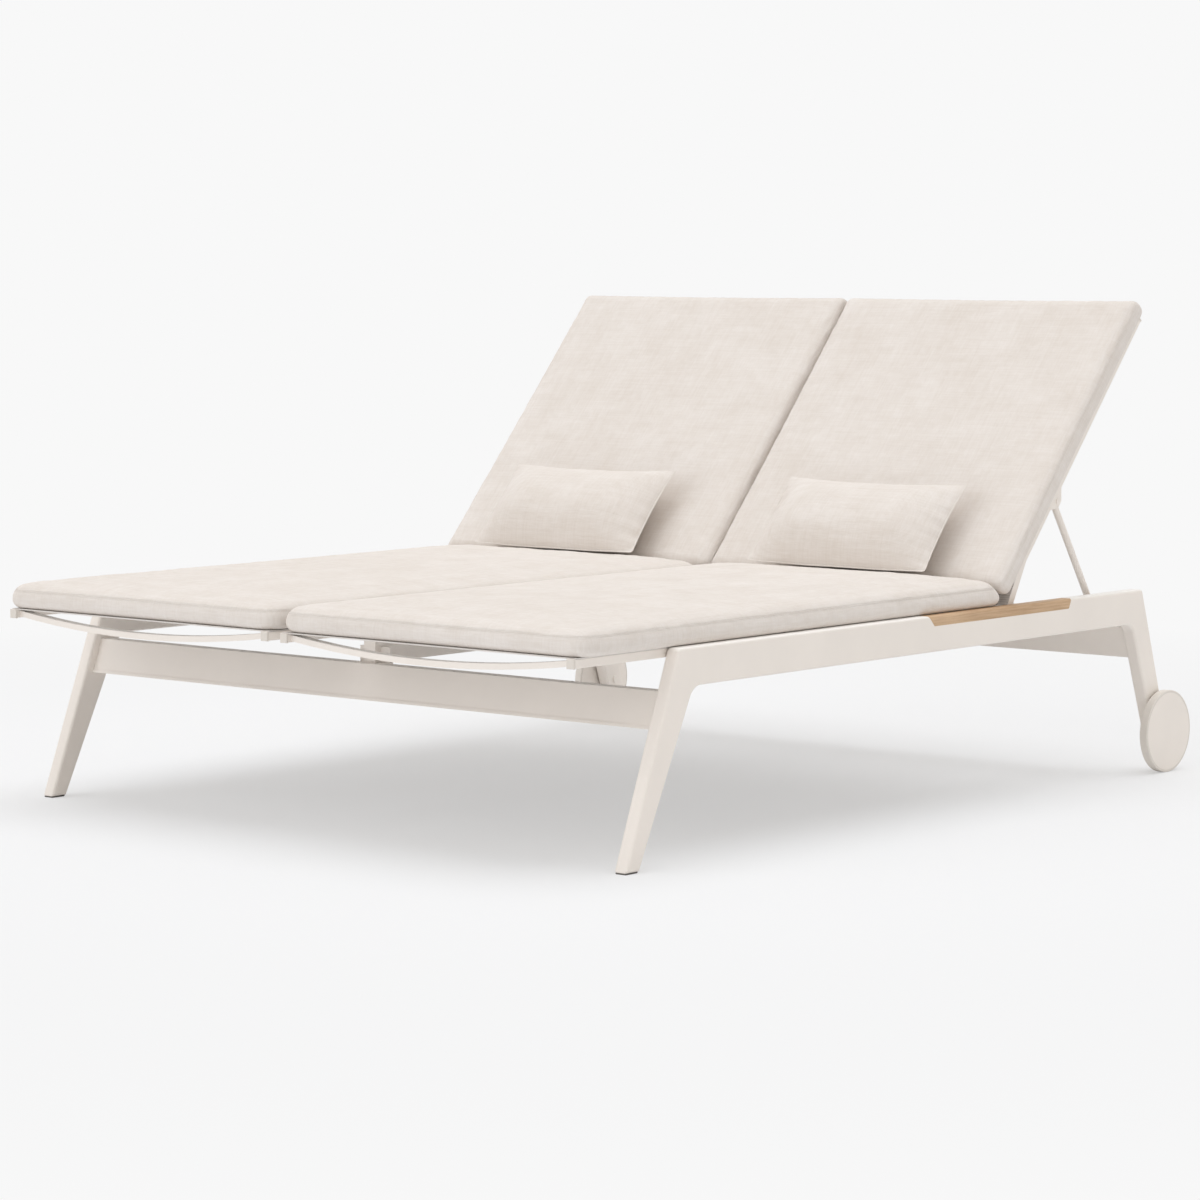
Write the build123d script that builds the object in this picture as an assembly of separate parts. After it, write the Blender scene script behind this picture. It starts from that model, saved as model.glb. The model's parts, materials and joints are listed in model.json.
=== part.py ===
from build123d import *
import math
import os

# Double chaise lounger with two reclining backs. Millimetres, +Z up.
# The foot end faces -Y, the head end faces +Y, and X = 0 is the plane between the two seats.
# The origin lies on the floor under the middle of the frame's length.

# Driving dimensions of the leg frame
frame_width = 1503.0
side_thickness = 29.0
rail_top = 385.5
rail_depth = 70.0
rail_length = 1529.0
front_rake = 149.0
front_foot_depth = 38.0
front_knee_depth = 69.0
rear_rake = 128.0
rear_foot_depth = 51.0
rear_knee_depth = 61.0
seat_overhang = 104.0
outer_corner_radius = 9.0
front_knee_radius = 36.0
rear_knee_radius = 32.0
edge_round = 5.5
glide_height = 2.6
glide_inset = 3.0
glide_round = 1.0
rear_foot_lift = 22.0
side_wall = 4.0
corner_block = 70.0
leg_cavity_top = 225.0

# Wheels
wheel_radius = 85.5
wheel_thickness = 18.0
wheel_gap = 4.0
wheel_edge_round = 2.0
tyre_depth = 5.0
tyre_groove = 0.5
axle_radius = 5.0
axle_head_radius = 9.0
axle_head_height = 4.0
axle_end_gap = 1.0
bush_wall = 3.0
bush_flange_radius = 12.0
bush_flange = 1.5
running_gap = 0.05
hub_cover = 4.0

# Crossbeams and centre beam
beam_height = 65.5
beam_depth = 28.0
beam_top = 308.0
front_beam_setback = 19.0
rear_beam_setback = 6.0
beam_wall = 2.5
beam_lip_height = 5.0
beam_lip_depth = 2.0
beam_end_wall = 6.0
centre_beam_width = 28.8
centre_beam_height = 55.0
centre_beam_setback = 14.5
tube_corner_round = 1.5
bracket_leg = 30.0
bracket_thickness = 4.0
bracket_width = 24.0

# Seat and back frames
side_gap = 1.6
centre_gap = 17.0
tube_size = 16.0
tube_wall = 1.6
seat_rail_top = 384.0
seat_end_gap = 17.0
cap_thickness = 4.0
cap_rim = 0.8
cap_plug_length = 14.0
cap_clearance = 0.2
bow_drop = 23.0
bow_height = 11.0
bow_width = 20.0
sling_thickness = 2.0
sling_end_inset = 6.0
saddle_width = 40.0
rear_saddle_half = 26.0
rear_saddle_drop = 0.4

# Reclining backs
recline_angle = 48.5
hinge_ahead_of_rail_end = 465.0
hinge_drop = 31.4
bend_reach = 141.5
back_reach = 773.0
hinge_pin_radius = 4.0
hinge_bush_radius = 6.0
hinge_flange_radius = 9.0
pin_head_radius = 7.0
pin_head_height = 4.0
pin_socket_depth = 15.0
top_bar_inset = 12.0

# Support stays and their racks
stay_radius = 7.0
stay_length = 282.6
stay_rest_angle = 56.4
stay_flat_angle = 1.95
stay_pivot_reach = 306.3
stay_pivot_drop = 24.4
stay_side_gap = 11.0
stay_head = 9.0
stay_pin_radius = 3.5
tab_thickness = 5.0
tab_gap = 0.5
tab_length = 74.0
tab_tip_radius = 9.0
stay_bar_gap = 3.0
rack_thickness = 12.0
rack_depth = 22.0
rack_notch_depth = 5.0
rack_front = 16.0
rack_hook_height = 9.0
rack_clearance = 0.3

# Soft pieces
back_cushion_thickness = 50.0
cushion_overhang = 19.0
cushion_centre_gap = 8.0
cushion_front_inset = 2.0
cushion_corner_radius = 36.0
cushion_side_draw = 2.5
back_cushion_start = 36.0
back_cushion_overhang = 8.0
back_cushion_corner_radius = 15.0
pillow_length = 451.0
pillow_height = 224.0
pillow_thickness = 100.0
pillow_outward_shift = 0.0
pillow_start = 14.0
pillow_side_draw = 5.0
pillow_corner_radius = 9.0
soft_gap = 0.3

# Wooden armrest inlays
inlay_rear_gap = 269.0
inlay_length = 498.0
inlay_depth = 20.0
inlay_front_slant = 19.0
inlay_rear_slant = 9.0
inlay_corner_radius = 4.0
inlay_clearance = 0.2

# Fasteners
bolt_radius = 4.0
bolt_clearance = 0.1
bolt_head_radius = 6.5
bolt_head_height = 3.5
bolt_grip = 12.0
seat_bolt_inset = 51.0
screw_radius = 2.5
screw_head_radius = 4.5
screw_head_height = 3.0
screw_grip = 6.0

# Section tables of the flat cushions. Each row gives the height above the sling, the edge inset there,
# and how far the rear end gives way there for the back cushion.
seat_cushion_sections = (
    (0.0, 6.3, 6.3),
    (5.0, 1.4, 1.4),
    (16.0, 0.2, 1.4),
    (21.0, 0.0, 3.5),
    (32.0, 0.7, 12.8),
    (37.0, 2.1, 17.0),
    (43.5, 9.1, 22.5),
    (47.5, 29.4, 27.0),
    (53.0, 70.0, 39.0),
    (58.0, 105.0, 66.0),
    (62.0, 140.0, 94.0),
    (64.0, 180.0, 122.0),
)
back_cushion_sections = (
    (0.0, 6.3, 6.3),
    (5.0, 1.4, 1.4),
    (21.0, 0.0, 0.0),
    (37.0, 2.1, 2.1),
    (43.5, 9.1, 9.1),
    (47.5, 29.4, 29.4),
    (50.0, 70.0, 70.0),
)
# Share of the half thickness, then the share of the pillow's outline.
pillow_section_shares = (
    (-1.00, 0.30),
    (-0.82, 0.62),
    (-0.50, 0.86),
    (-0.16, 0.98),
    (0.16, 0.98),
    (0.50, 0.86),
    (0.82, 0.62),
    (1.00, 0.30),
)
# Share of the back's whole turn for each point along the racks, and for each notch after the first.
rack_line_shares = (0.00, 0.05, 0.10, 0.15, 0.20, 0.25, 0.30, 0.33)
rack_notch_shares = (0.09, 0.18, 0.27)
rack_bolt_shares = (0.13, 0.30)
seat_bow_shares = (0.006, 0.34, 0.67, 0.985)
back_bow_shares = (0.24, 0.42, 0.62, 0.875)
saddle_shares = (0.19, 0.45, 0.71, 0.965)
# Share of the way from the front leg to the wooden inlay.
seat_bolt_shares = (0.0, 0.5, 1.0)


# Places that follow from the sizes above
half_width = frame_width / 2
side_inner = half_width - side_thickness
rail_bottom = rail_top - rail_depth
front_slope = front_rake / rail_top
rear_slope = rear_rake / rail_top
front_inner_slope = (front_rake * rail_bottom / rail_top + front_knee_depth - front_foot_depth) / rail_bottom
rear_edge_at_knee = rear_rake * rail_depth / rail_top
rear_inner_slope = (rear_rake - rear_edge_at_knee + rear_knee_depth - rear_foot_depth) / rail_bottom
rail_rear = front_rake + rail_length


def front_leg_front(height):
    return height * front_slope


def front_leg_rear(height):
    return front_foot_depth + height * front_inner_slope


def rear_leg_front(height):
    return rail_rear + rear_edge_at_knee - rear_knee_depth + (rail_bottom - height) * rear_inner_slope


def rear_leg_rear(height):
    return rail_rear + (rail_top - height) * rear_slope


wheel_from_foot = (rear_leg_front(wheel_radius) + rear_leg_rear(wheel_radius)) / 2
overall_length = seat_overhang + wheel_from_foot + wheel_radius
foot_y = seat_overhang - overall_length / 2
front_tip = -overall_length / 2
wheel_y = foot_y + wheel_from_foot
wheel_inner = half_width + wheel_gap
wheel_outer = wheel_inner + wheel_thickness

rail_outer = side_inner - side_gap
rail_inner = rail_outer - tube_size
mid_outer = centre_gap + tube_size
seat_rail_bottom = seat_rail_top - tube_size
seat_rail_mid = seat_rail_top - tube_size / 2
hinge_y = foot_y + rail_rear - hinge_ahead_of_rail_end
seat_rear = hinge_y - seat_end_gap
seat_rail_length = seat_rear - front_tip
sling_top = seat_rail_top + sling_thickness

hinge_z = seat_rail_mid - hinge_drop
back_frame = Pos(0, hinge_y, hinge_z) * Rot(recline_angle, 0, 0)
back_top = hinge_drop + tube_size / 2
back_sling_top = back_top + sling_thickness

stay_pivot_s = stay_pivot_reach
stay_pivot_n = hinge_drop - stay_pivot_drop
stay_pivot = back_frame * Pos(0, stay_pivot_s, stay_pivot_n)
stay_pivot_y = stay_pivot.position.Y
stay_pivot_z = stay_pivot.position.Z


def stay_foot(share):
    """Where the bar across a stay's feet is, at a share of the back's turn from raised to flat."""
    turned = Rot(recline_angle * (1 - share), 0, 0) * Pos(0, stay_pivot_s, stay_pivot_n)
    fall = math.radians(stay_rest_angle + (stay_flat_angle - stay_rest_angle) * share)
    foot_reach = hinge_y + turned.position.Y + stay_length * math.cos(fall)
    return foot_reach, hinge_z + turned.position.Z - stay_length * math.sin(fall)


stay_foot_y, stay_foot_z = stay_foot(0)
stay_outer_x = rail_inner - tab_gap - stay_radius + tube_size / 3
stay_inner_x = mid_outer + tab_gap + stay_radius - tube_size / 3


along_x = (1, 0, 0)


# Small helpers. Prisms run along X between two places, from points given as (y, z).
def prism(points, x_low, x_high):
    return extrude(Plane.YZ.offset(x_low) * Polygon(*points, align=None), x_high - x_low, dir=along_x)


def rounded_prism(points, radii, x_low, x_high):
    face = make_face(FilletPolyline(*points, radius=radii, close=True).edges())
    return extrude(Plane.YZ.offset(x_low) * face, x_high - x_low, dir=along_x)


def block(x_low, x_high, y_low, y_high, z_low, z_high):
    size = Box(x_high - x_low, y_high - y_low, z_high - z_low, align=(Align.MIN, Align.MIN, Align.MIN))
    return Pos(x_low, y_low, z_low) * size


def rod_x(radius, x_low, x_high, y, z):
    return extrude(Plane.YZ.offset(x_low) * Pos(y, z) * Circle(radius), x_high - x_low)


def rod_z(radius, x, y, z_low, z_high):
    return Pos(x, y, z_low) * extrude(Circle(radius), z_high - z_low)


def mirrored(solid):
    return mirror(solid, about=Plane.YZ)


def offset_path(points, distance):
    """Points of a bent line moved sideways by a distance, with mitred bends."""
    moved = []
    for index, point in enumerate(points):
        before = points[max(index - 1, 0)]
        after = points[min(index + 1, len(points) - 1)]
        into = Vector(point[0] - before[0], point[1] - before[1])
        out = Vector(after[0] - point[0], after[1] - point[1])
        into = out if index == 0 else into
        out = into if index == len(points) - 1 else out
        side_in = Vector(-into.Y, into.X).normalized()
        side_out = Vector(-out.Y, out.X).normalized()
        mitre = (side_in + side_out).normalized()
        reach = distance / mitre.dot(side_in)
        moved.append((point[0] + mitre.X * reach, point[1] + mitre.Y * reach))
    return moved


def strip(points, low, high, x_low, x_high):
    """A bar of even thickness that follows a bent line in the side view."""
    outline = offset_path(points, high) + offset_path(points, low)[::-1]
    return prism(outline, x_low, x_high)


# Side frames
def side_outline():
    points = (
        (foot_y + front_leg_front(glide_height), glide_height),
        (foot_y + front_rake, rail_top),
        (foot_y + rail_rear, rail_top),
        (foot_y + rear_leg_rear(rear_foot_lift), rear_foot_lift),
        (foot_y + rear_leg_front(rear_foot_lift), rear_foot_lift),
        (foot_y + rear_leg_front(rail_bottom), rail_bottom),
        (foot_y + front_leg_rear(rail_bottom), rail_bottom),
        (foot_y + front_leg_rear(glide_height), glide_height),
    )
    foot_round = outer_corner_radius / 4
    radii = (
        foot_round,
        outer_corner_radius,
        outer_corner_radius,
        foot_round,
        foot_round,
        rear_knee_radius,
        front_knee_radius,
        foot_round,
    )
    return rounded_prism(points, radii, side_inner, half_width)


def rounded_side():
    body = side_outline()
    long_edges = body.faces().filter_by(Axis.X).edges()
    return fillet(long_edges, edge_round)


def inlay_points(clearance):
    end = foot_y + rail_rear - inlay_rear_gap - clearance
    start = foot_y + rail_rear - inlay_rear_gap - inlay_length + clearance
    floor = rail_top - inlay_depth
    return (
        (start - inlay_front_slant, rail_top + inlay_depth),
        (start + inlay_front_slant, floor),
        (end - inlay_rear_slant, floor),
        (end + inlay_rear_slant, rail_top + inlay_depth),
    )


def inlay_cutter(clearance):
    radii = (0, inlay_corner_radius, inlay_corner_radius, 0)
    face = make_face(Polyline(*inlay_points(clearance), close=True).edges())
    corners = face.vertices().sort_by(Axis.Y)[:2]
    face = fillet(corners, max(radii))
    return extrude(Plane.YZ.offset(side_inner - side_gap) * face, side_thickness + 2 * side_gap, dir=along_x)


def side_cavities():
    x_low = side_inner + side_wall
    x_high = half_width - side_wall
    rail_space = block(
        x_low, x_high,
        foot_y + front_rake + corner_block, foot_y + rail_rear - corner_block,
        rail_bottom + side_wall, rail_top - inlay_depth - side_wall,
    )
    spaces = [rail_space]
    front_low = glide_height + side_wall
    front_points = (
        (foot_y + front_leg_front(front_low) + side_wall, front_low),
        (foot_y + front_leg_front(leg_cavity_top) + side_wall, leg_cavity_top),
        (foot_y + front_leg_rear(leg_cavity_top) - side_wall, leg_cavity_top),
        (foot_y + front_leg_rear(front_low) - side_wall, front_low),
    )
    spaces.append(prism(front_points, x_low, x_high))
    rear_low = wheel_radius + axle_head_radius + side_wall
    rear_points = (
        (foot_y + rear_leg_front(rear_low) + side_wall, rear_low),
        (foot_y + rear_leg_front(leg_cavity_top) + side_wall, leg_cavity_top),
        (foot_y + rear_leg_rear(leg_cavity_top) - side_wall, leg_cavity_top),
        (foot_y + rear_leg_rear(rear_low) - side_wall, rear_low),
    )
    spaces.append(prism(rear_points, x_low, x_high))
    return spaces


def beam_bolt_places():
    front = beam_points(True)
    rear = beam_points(False)
    places = []
    for outline in (front, rear):
        centre_y = sum(point[0] for point in outline) / len(outline)
        centre_z = beam_top - beam_height / 2
        slope = (outline[1][0] - outline[0][0]) / beam_height
        for level in (-beam_height / 4, beam_height / 4):
            places.append((centre_y + level * slope, centre_z + level))
    return places


def seat_bolt_places():
    first = foot_y + front_rake + seat_bolt_inset
    last = foot_y + rail_rear - inlay_rear_gap - inlay_length - seat_bolt_inset
    return [(first + (last - first) * share, seat_rail_mid) for share in seat_bolt_shares]


def rack_bolt_places():
    height = rack_top() - rack_depth / 2 - rack_notch_depth / 2
    return [(stay_foot(share)[0], height) for share in rack_bolt_shares]


def side_frame():
    rounded = rounded_side()
    body = rounded - inlay_cutter(0)
    for space in side_cavities():
        body -= space
    hole = bolt_radius + bolt_clearance
    for y, z in beam_bolt_places() + seat_bolt_places() + rack_bolt_places():
        body -= rod_x(hole, side_inner - side_gap, side_inner + bolt_grip + bolt_clearance, y, z)
    pin_hole = hinge_pin_radius + bolt_clearance
    body -= rod_x(pin_hole, side_inner - side_gap, side_inner + pin_socket_depth + bolt_clearance, hinge_y, hinge_z)
    axle_hole = axle_radius + bolt_clearance
    body -= rod_x(axle_hole, side_inner - side_gap, half_width + side_gap, wheel_y, wheel_radius)
    return body


def armrest_inlay():
    return rounded_side() & inlay_cutter(inlay_clearance)


def foot_glide():
    points = (
        (foot_y + glide_inset, 0),
        (foot_y + front_leg_front(glide_height) + glide_inset, glide_height),
        (foot_y + front_leg_rear(glide_height) - glide_inset, glide_height),
        (foot_y + front_leg_rear(0) - glide_inset, 0),
    )
    glide = prism(points, side_inner + glide_inset, half_width - glide_inset)
    return fillet(glide.faces().sort_by(Axis.Z)[0].edges(), glide_round)


# Crossbeams
def beam_points(front):
    if front:
        slope = front_slope
        y_top = foot_y + beam_top * front_slope + front_beam_setback
    else:
        slope = -rear_inner_slope
        y_top = foot_y + rear_leg_front(beam_top) + rear_beam_setback
    y_low = y_top - beam_height * slope
    low = beam_top - beam_height
    return (
        (y_low, low),
        (y_top, beam_top),
        (y_top + beam_depth, beam_top),
        (y_low + beam_depth, low),
    )


def crossbeam(front):
    outline = beam_points(front)
    body = prism(outline, -side_inner, side_inner)
    body = fillet(body.edges().filter_by(Axis.X), tube_corner_round)
    slope = (outline[1][0] - outline[0][0]) / beam_height
    inner = (
        (outline[0][0] + beam_wall * (1 + slope), outline[0][1] + beam_wall),
        (outline[1][0] + beam_wall * (1 - slope), outline[1][1] - beam_wall),
        (outline[2][0] - beam_wall * (1 + slope), outline[2][1] - beam_wall),
        (outline[3][0] - beam_wall * (1 - slope), outline[3][1] + beam_wall),
    )
    body -= prism(inner, -side_inner + beam_end_wall, side_inner - beam_end_wall)
    if front:
        lip = (
            (outline[0][0] - beam_lip_depth, outline[0][1]),
            (outline[0][0] - beam_lip_depth + beam_lip_height * slope, outline[0][1] + beam_lip_height),
            (outline[0][0] + beam_wall, outline[0][1] + beam_lip_height),
            (outline[0][0] + beam_wall, outline[0][1]),
        )
        body += prism(lip, -side_inner, side_inner)
    hole = bolt_radius + bolt_clearance
    places = beam_bolt_places()[:2] if front else beam_bolt_places()[2:]
    for y, z in places:
        body -= rod_x(hole, -side_inner, -side_inner + beam_end_wall, y, z)
        body -= rod_x(hole, side_inner - beam_end_wall, side_inner, y, z)
    return body


def bolt_x(x_face, grip, y, z, head_radius=bolt_head_radius, radius=bolt_radius):
    """A bolt whose head bears on a face and whose shank runs outwards along X."""
    head = rod_x(head_radius, x_face - bolt_head_height, x_face, y, z)
    head = fillet(head.edges().group_by(Axis.X)[0], bolt_head_height / 4)
    return head + rod_x(radius, x_face, x_face + grip, y, z)


def beam_bolts():
    solids = []
    for y, z in beam_bolt_places():
        bolt = bolt_x(side_inner - beam_end_wall, beam_end_wall + bolt_grip, y, z)
        solids += [bolt, mirrored(bolt)]
    return solids


# Centre beam with its saddles
centre_half = centre_beam_width / 2
centre_top = beam_top + centre_beam_height
centre_front = beam_points(True)[1][0] + centre_beam_setback
centre_rear = beam_points(False)[2][0] - tube_corner_round


def centre_beam():
    body = block(-centre_half, centre_half, centre_front, centre_rear, beam_top, centre_top)
    body = fillet(body.edges().filter_by(Axis.Y), tube_corner_round)
    body -= block(-centre_half + beam_wall, centre_half - beam_wall, centre_front + beam_wall,
                  centre_rear - beam_wall, beam_top + beam_wall, centre_top - beam_wall)
    body -= rod_x(hinge_pin_radius + bolt_clearance, -centre_half, centre_half, hinge_y, hinge_z)
    hole = screw_radius + bolt_clearance
    for y, z in rack_bolt_places():
        body -= rod_x(hole, -centre_half, centre_half, y, z)
    return body


def saddle_places():
    return [front_tip + share * seat_rail_length for share in saddle_shares]


def beam_saddles():
    solids = []
    hole = screw_radius + bolt_clearance
    for y in saddle_places():
        plate = block(-mid_outer, mid_outer, y - saddle_width / 2, y + saddle_width / 2,
                      centre_top, seat_rail_bottom)
        for x in (-saddle_screw_x, saddle_screw_x):
            plate -= rod_z(hole, x, y, centre_top, seat_rail_bottom)
        solids.append(plate)
    rear_y = centre_rear - saddle_width
    solids.append(block(-rear_saddle_half, rear_saddle_half, rear_y - saddle_width / 2, rear_y + saddle_width / 2,
                        centre_top, seat_rail_bottom - rear_saddle_drop))
    return solids


saddle_screw_x = centre_gap + tube_size / 2


def saddle_screws():
    solids = []
    for y in saddle_places():
        for x in (-saddle_screw_x, saddle_screw_x):
            head = rod_z(screw_head_radius, x, y, centre_top - screw_head_height, centre_top)
            shank = rod_z(screw_radius, x, y, centre_top, centre_top + screw_grip)
            solids.append(head + shank)
    return solids


def front_bracket(side):
    """An upright angle beside the centre beam, behind the front crossbeam."""
    y_low = beam_points(True)[2][0] + tube_corner_round
    z_low = beam_top - bracket_leg / 2
    z_high = beam_top + bracket_leg
    upright = block(centre_half, centre_half + bracket_width, y_low, y_low + bracket_thickness, z_low, z_high)
    wing = block(centre_half, centre_half + bracket_thickness, y_low, y_low + bracket_leg, z_low, z_high)
    angle = upright + wing
    return angle if side > 0 else mirrored(angle)


def rear_bracket():
    """A bent plate under the centre beam, with one leg down the rear crossbeam's front face."""
    y_top = beam_points(False)[1][0]
    drop_y = y_top + bracket_leg * rear_inner_slope
    points = (
        (y_top - bracket_leg, beam_top),
        (y_top, beam_top),
        (drop_y, beam_top - bracket_leg),
        (drop_y - bracket_thickness, beam_top - bracket_leg),
        (y_top - bracket_thickness, beam_top - bracket_thickness),
        (y_top - bracket_leg, beam_top - bracket_thickness),
    )
    return prism(points, -centre_half, centre_half)


def beam_brackets():
    return [front_bracket(1), front_bracket(-1), rear_bracket()]


# Seat frames
def square_tube(x_low, y_low, y_high, z_low):
    body = block(x_low, x_low + tube_size, y_low, y_high, z_low, z_low + tube_size)
    body = fillet(body.edges().filter_by(Axis.Y), tube_corner_round)
    return body - block(x_low + tube_wall, x_low + tube_size - tube_wall, y_low, y_high,
                        z_low + tube_wall, z_low + tube_size - tube_wall)


def seat_rail(x_low, outer):
    body = square_tube(x_low, front_tip + cap_thickness, seat_rear - cap_thickness, seat_rail_bottom)
    if outer:
        for y, z in seat_bolt_places():
            body -= rod_x(bolt_radius + bolt_clearance, x_low, x_low + tube_size, y, z)
    else:
        for y in saddle_places():
            body -= rod_z(screw_radius + bolt_clearance, saddle_screw_x, y,
                          seat_rail_bottom, seat_rail_bottom + tube_wall)
    return body


def tube_cap(x_low, rim):
    """A pressed-in cap for a square tube's end, made at the origin with its face towards -Y."""
    face = block(x_low - rim, x_low + tube_size + rim, 0, cap_thickness, -rim, tube_size + rim)
    face = fillet(face.faces().sort_by(Axis.Y)[0].edges(), tube_corner_round)
    inset = tube_wall + cap_clearance
    plug = block(x_low + inset, x_low + tube_size - inset, cap_thickness, cap_thickness + cap_plug_length,
                 inset, tube_size - inset)
    return face + plug


def seat_caps():
    solids = []
    for x_low in (rail_inner, centre_gap):
        front = Pos(0, front_tip, seat_rail_bottom) * tube_cap(x_low, cap_rim)
        rear = mirror(tube_cap(x_low, 0), about=Plane.XZ)
        rear = Pos(0, seat_rear, seat_rail_bottom) * rear
        solids += [front, rear, mirrored(front), mirrored(rear)]
    return solids


def bow(y_mid, z_mid):
    """A cross strut that dips in the middle between the two rails of one frame."""
    middle = (mid_outer + rail_inner) / 2
    top = z_mid + bow_height / 2
    low = z_mid - bow_height / 2
    upper = ThreePointArc((mid_outer, top), (middle, top - bow_drop), (rail_inner, top))
    lower = ThreePointArc((mid_outer, low), (middle, low - bow_drop), (rail_inner, low))
    ends = [Line((mid_outer, low), (mid_outer, top)), Line((rail_inner, low), (rail_inner, top))]
    face = make_face([upper.edge(), lower.edge(), ends[0].edge(), ends[1].edge()])
    strut = extrude(Plane.XZ * face, bow_width / 2, both=True)
    return Pos(0, y_mid, 0) * strut


def seat_bows():
    first = front_tip + cap_thickness + bow_width / 2
    last = seat_rear - cap_thickness - bow_width / 2
    return [bow(first + (last - first) * share, seat_rail_mid) for share in seat_bow_shares]


def seat_sling():
    return block(centre_gap, rail_outer, front_tip + sling_end_inset, seat_rear - sling_end_inset,
                 seat_rail_top, sling_top)


def seat_bolts():
    solids = []
    for y, z in seat_bolt_places():
        bolt = bolt_x(rail_inner, tube_size + side_gap + bolt_grip, y, z)
        solids += [bolt, mirrored(bolt)]
    return solids


def seat_spacers():
    solids = []
    for y, z in seat_bolt_places():
        ring = rod_x(bolt_head_radius, rail_outer, side_inner, y, z)
        ring -= rod_x(bolt_radius + bolt_clearance, rail_outer, side_inner, y, z)
        solids += [ring, mirrored(ring)]
    return solids


# Soft pieces
def soft_outline(x_low, x_high, y_low, y_high, radius, draw):
    """A rounded rectangle whose four sides pull in a little between the corners."""
    x_mid = (x_low + x_high) / 2
    y_mid = (y_low + y_high) / 2
    nook = radius * (1 - math.sqrt(0.5))
    corners = (
        ((x_low, y_low + radius), (x_low + nook, y_low + nook), (x_low + radius, y_low)),
        ((x_high - radius, y_low), (x_high - nook, y_low + nook), (x_high, y_low + radius)),
        ((x_high, y_high - radius), (x_high - nook, y_high - nook), (x_high - radius, y_high)),
        ((x_low + radius, y_high), (x_low + nook, y_high - nook), (x_low, y_high - radius)),
    )
    mids = (
        (x_mid, y_low + draw),
        (x_high - draw, y_mid),
        (x_mid, y_high - draw),
        (x_low + draw, y_mid),
    )
    edges = []
    for index, corner in enumerate(corners):
        following = corners[(index + 1) % len(corners)]
        edges.append(ThreePointArc(*corner).edge())
        edges.append(ThreePointArc(corner[2], mids[index], following[0]).edge())
    return make_face(edges)


def cushion(y_low, y_high, z_low, radius, section_table):
    """One flat cushion of the right-hand side, crowned on top, with its sides drawn in."""
    x_low = cushion_centre_gap
    x_high = rail_outer + cushion_overhang
    sections = []
    for height, inset, rear_give in section_table:
        corner = max(radius * (1 - inset / radius / 4), radius / 3)
        face = soft_outline(x_low + inset, x_high - inset, y_low + inset, y_high - rear_give,
                            corner, cushion_side_draw)
        sections.append(Pos(0, 0, z_low + height) * face)
    return loft(sections, ruled=True)


def seat_cushion():
    return cushion(front_tip + cushion_front_inset, seat_rear, sling_top,
                   cushion_corner_radius, seat_cushion_sections)


def back_cushion():
    far_end = back_reach + back_cushion_overhang
    flat = cushion(back_cushion_start, far_end, back_sling_top, back_cushion_corner_radius,
                   back_cushion_sections)
    return back_frame * flat


def lumbar_pillow():
    """A loose pillow with knife edges that leans on the back cushion."""
    middle = back_sling_top + back_cushion_thickness + soft_gap + pillow_thickness / 2
    pillow_centre = (cushion_centre_gap + rail_outer + cushion_overhang) / 2 + pillow_outward_shift
    y_mid = pillow_start + pillow_height / 2
    sections = []
    for level, share in pillow_section_shares:
        half_x = pillow_length / 2 * share
        half_y = (pillow_height / 2 - pillow_length / 2 * (1 - share) * pillow_height / pillow_length)
        face = soft_outline(pillow_centre - half_x, pillow_centre + half_x, y_mid - half_y, y_mid + half_y,
                            pillow_corner_radius * share, pillow_side_draw * share)
        sections.append(Pos(0, 0, middle + level * pillow_thickness / 2) * face)
    return back_frame * loft(sections, ruled=True)


# Reclining back frames. They are made lying flat from the hinge, then turned up.
def back_line():
    return [(0, 0), (bend_reach, hinge_drop), (back_reach - cap_thickness, hinge_drop)]


def back_rail(x_low):
    half = tube_size / 2
    body = strip(back_line(), -half, half, x_low, x_low + tube_size)
    body += rod_x(half, x_low, x_low + tube_size, 0, 0)
    inner = half - tube_wall
    start = bend_reach * tube_size / back_reach * 2
    hollow_line = [(start, start * hinge_drop / bend_reach)] + back_line()[1:]
    body -= strip(hollow_line, -inner, inner, x_low + tube_wall, x_low + tube_size - tube_wall)
    body -= rod_x(hinge_bush_radius, x_low, x_low + tube_size, 0, 0)
    return back_frame * body


def back_caps():
    solids = []
    for x_low in (rail_inner, centre_gap):
        cap = mirror(tube_cap(x_low, cap_rim), about=Plane.XZ)
        solids.append(back_frame * Pos(0, back_reach, hinge_drop - tube_size / 2) * cap)
    return solids


def back_bows():
    solids = [bow(share * back_reach, hinge_drop) for share in back_bow_shares]
    y_bar = back_reach - cap_thickness - top_bar_inset
    half = bow_height / 2
    solids.append(block(mid_outer, rail_inner, y_bar - half, y_bar + half, hinge_drop - half, hinge_drop + half))
    return [back_frame * solid for solid in solids]


def back_sling():
    start = back_cushion_start
    line = [(start, start * hinge_drop / bend_reach)] + back_line()[1:]
    line[2] = (back_reach - sling_end_inset, hinge_drop)
    half = tube_size / 2
    return back_frame * strip(line, half, half + sling_thickness, centre_gap, rail_outer)


def hinge_bush(x_low, gap_side):
    """A flanged bush in a back rail's hinge eye. The flange fills the gap beside the rail."""
    bore = hinge_pin_radius + running_gap
    sleeve = rod_x(hinge_bush_radius, x_low, x_low + tube_size, 0, 0)
    if gap_side > 0:
        flange = rod_x(hinge_flange_radius, x_low + tube_size, x_low + tube_size + side_gap - 2 * running_gap, 0, 0)
    else:
        flange = rod_x(hinge_flange_radius, centre_half + 2 * running_gap, x_low, 0, 0)
    cut = rod_x(bore, -half_width, half_width, 0, 0)
    return back_frame * (sleeve + flange - cut)


def hinge_bushes():
    return [hinge_bush(rail_inner, 1), hinge_bush(centre_gap, -1)]


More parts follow.
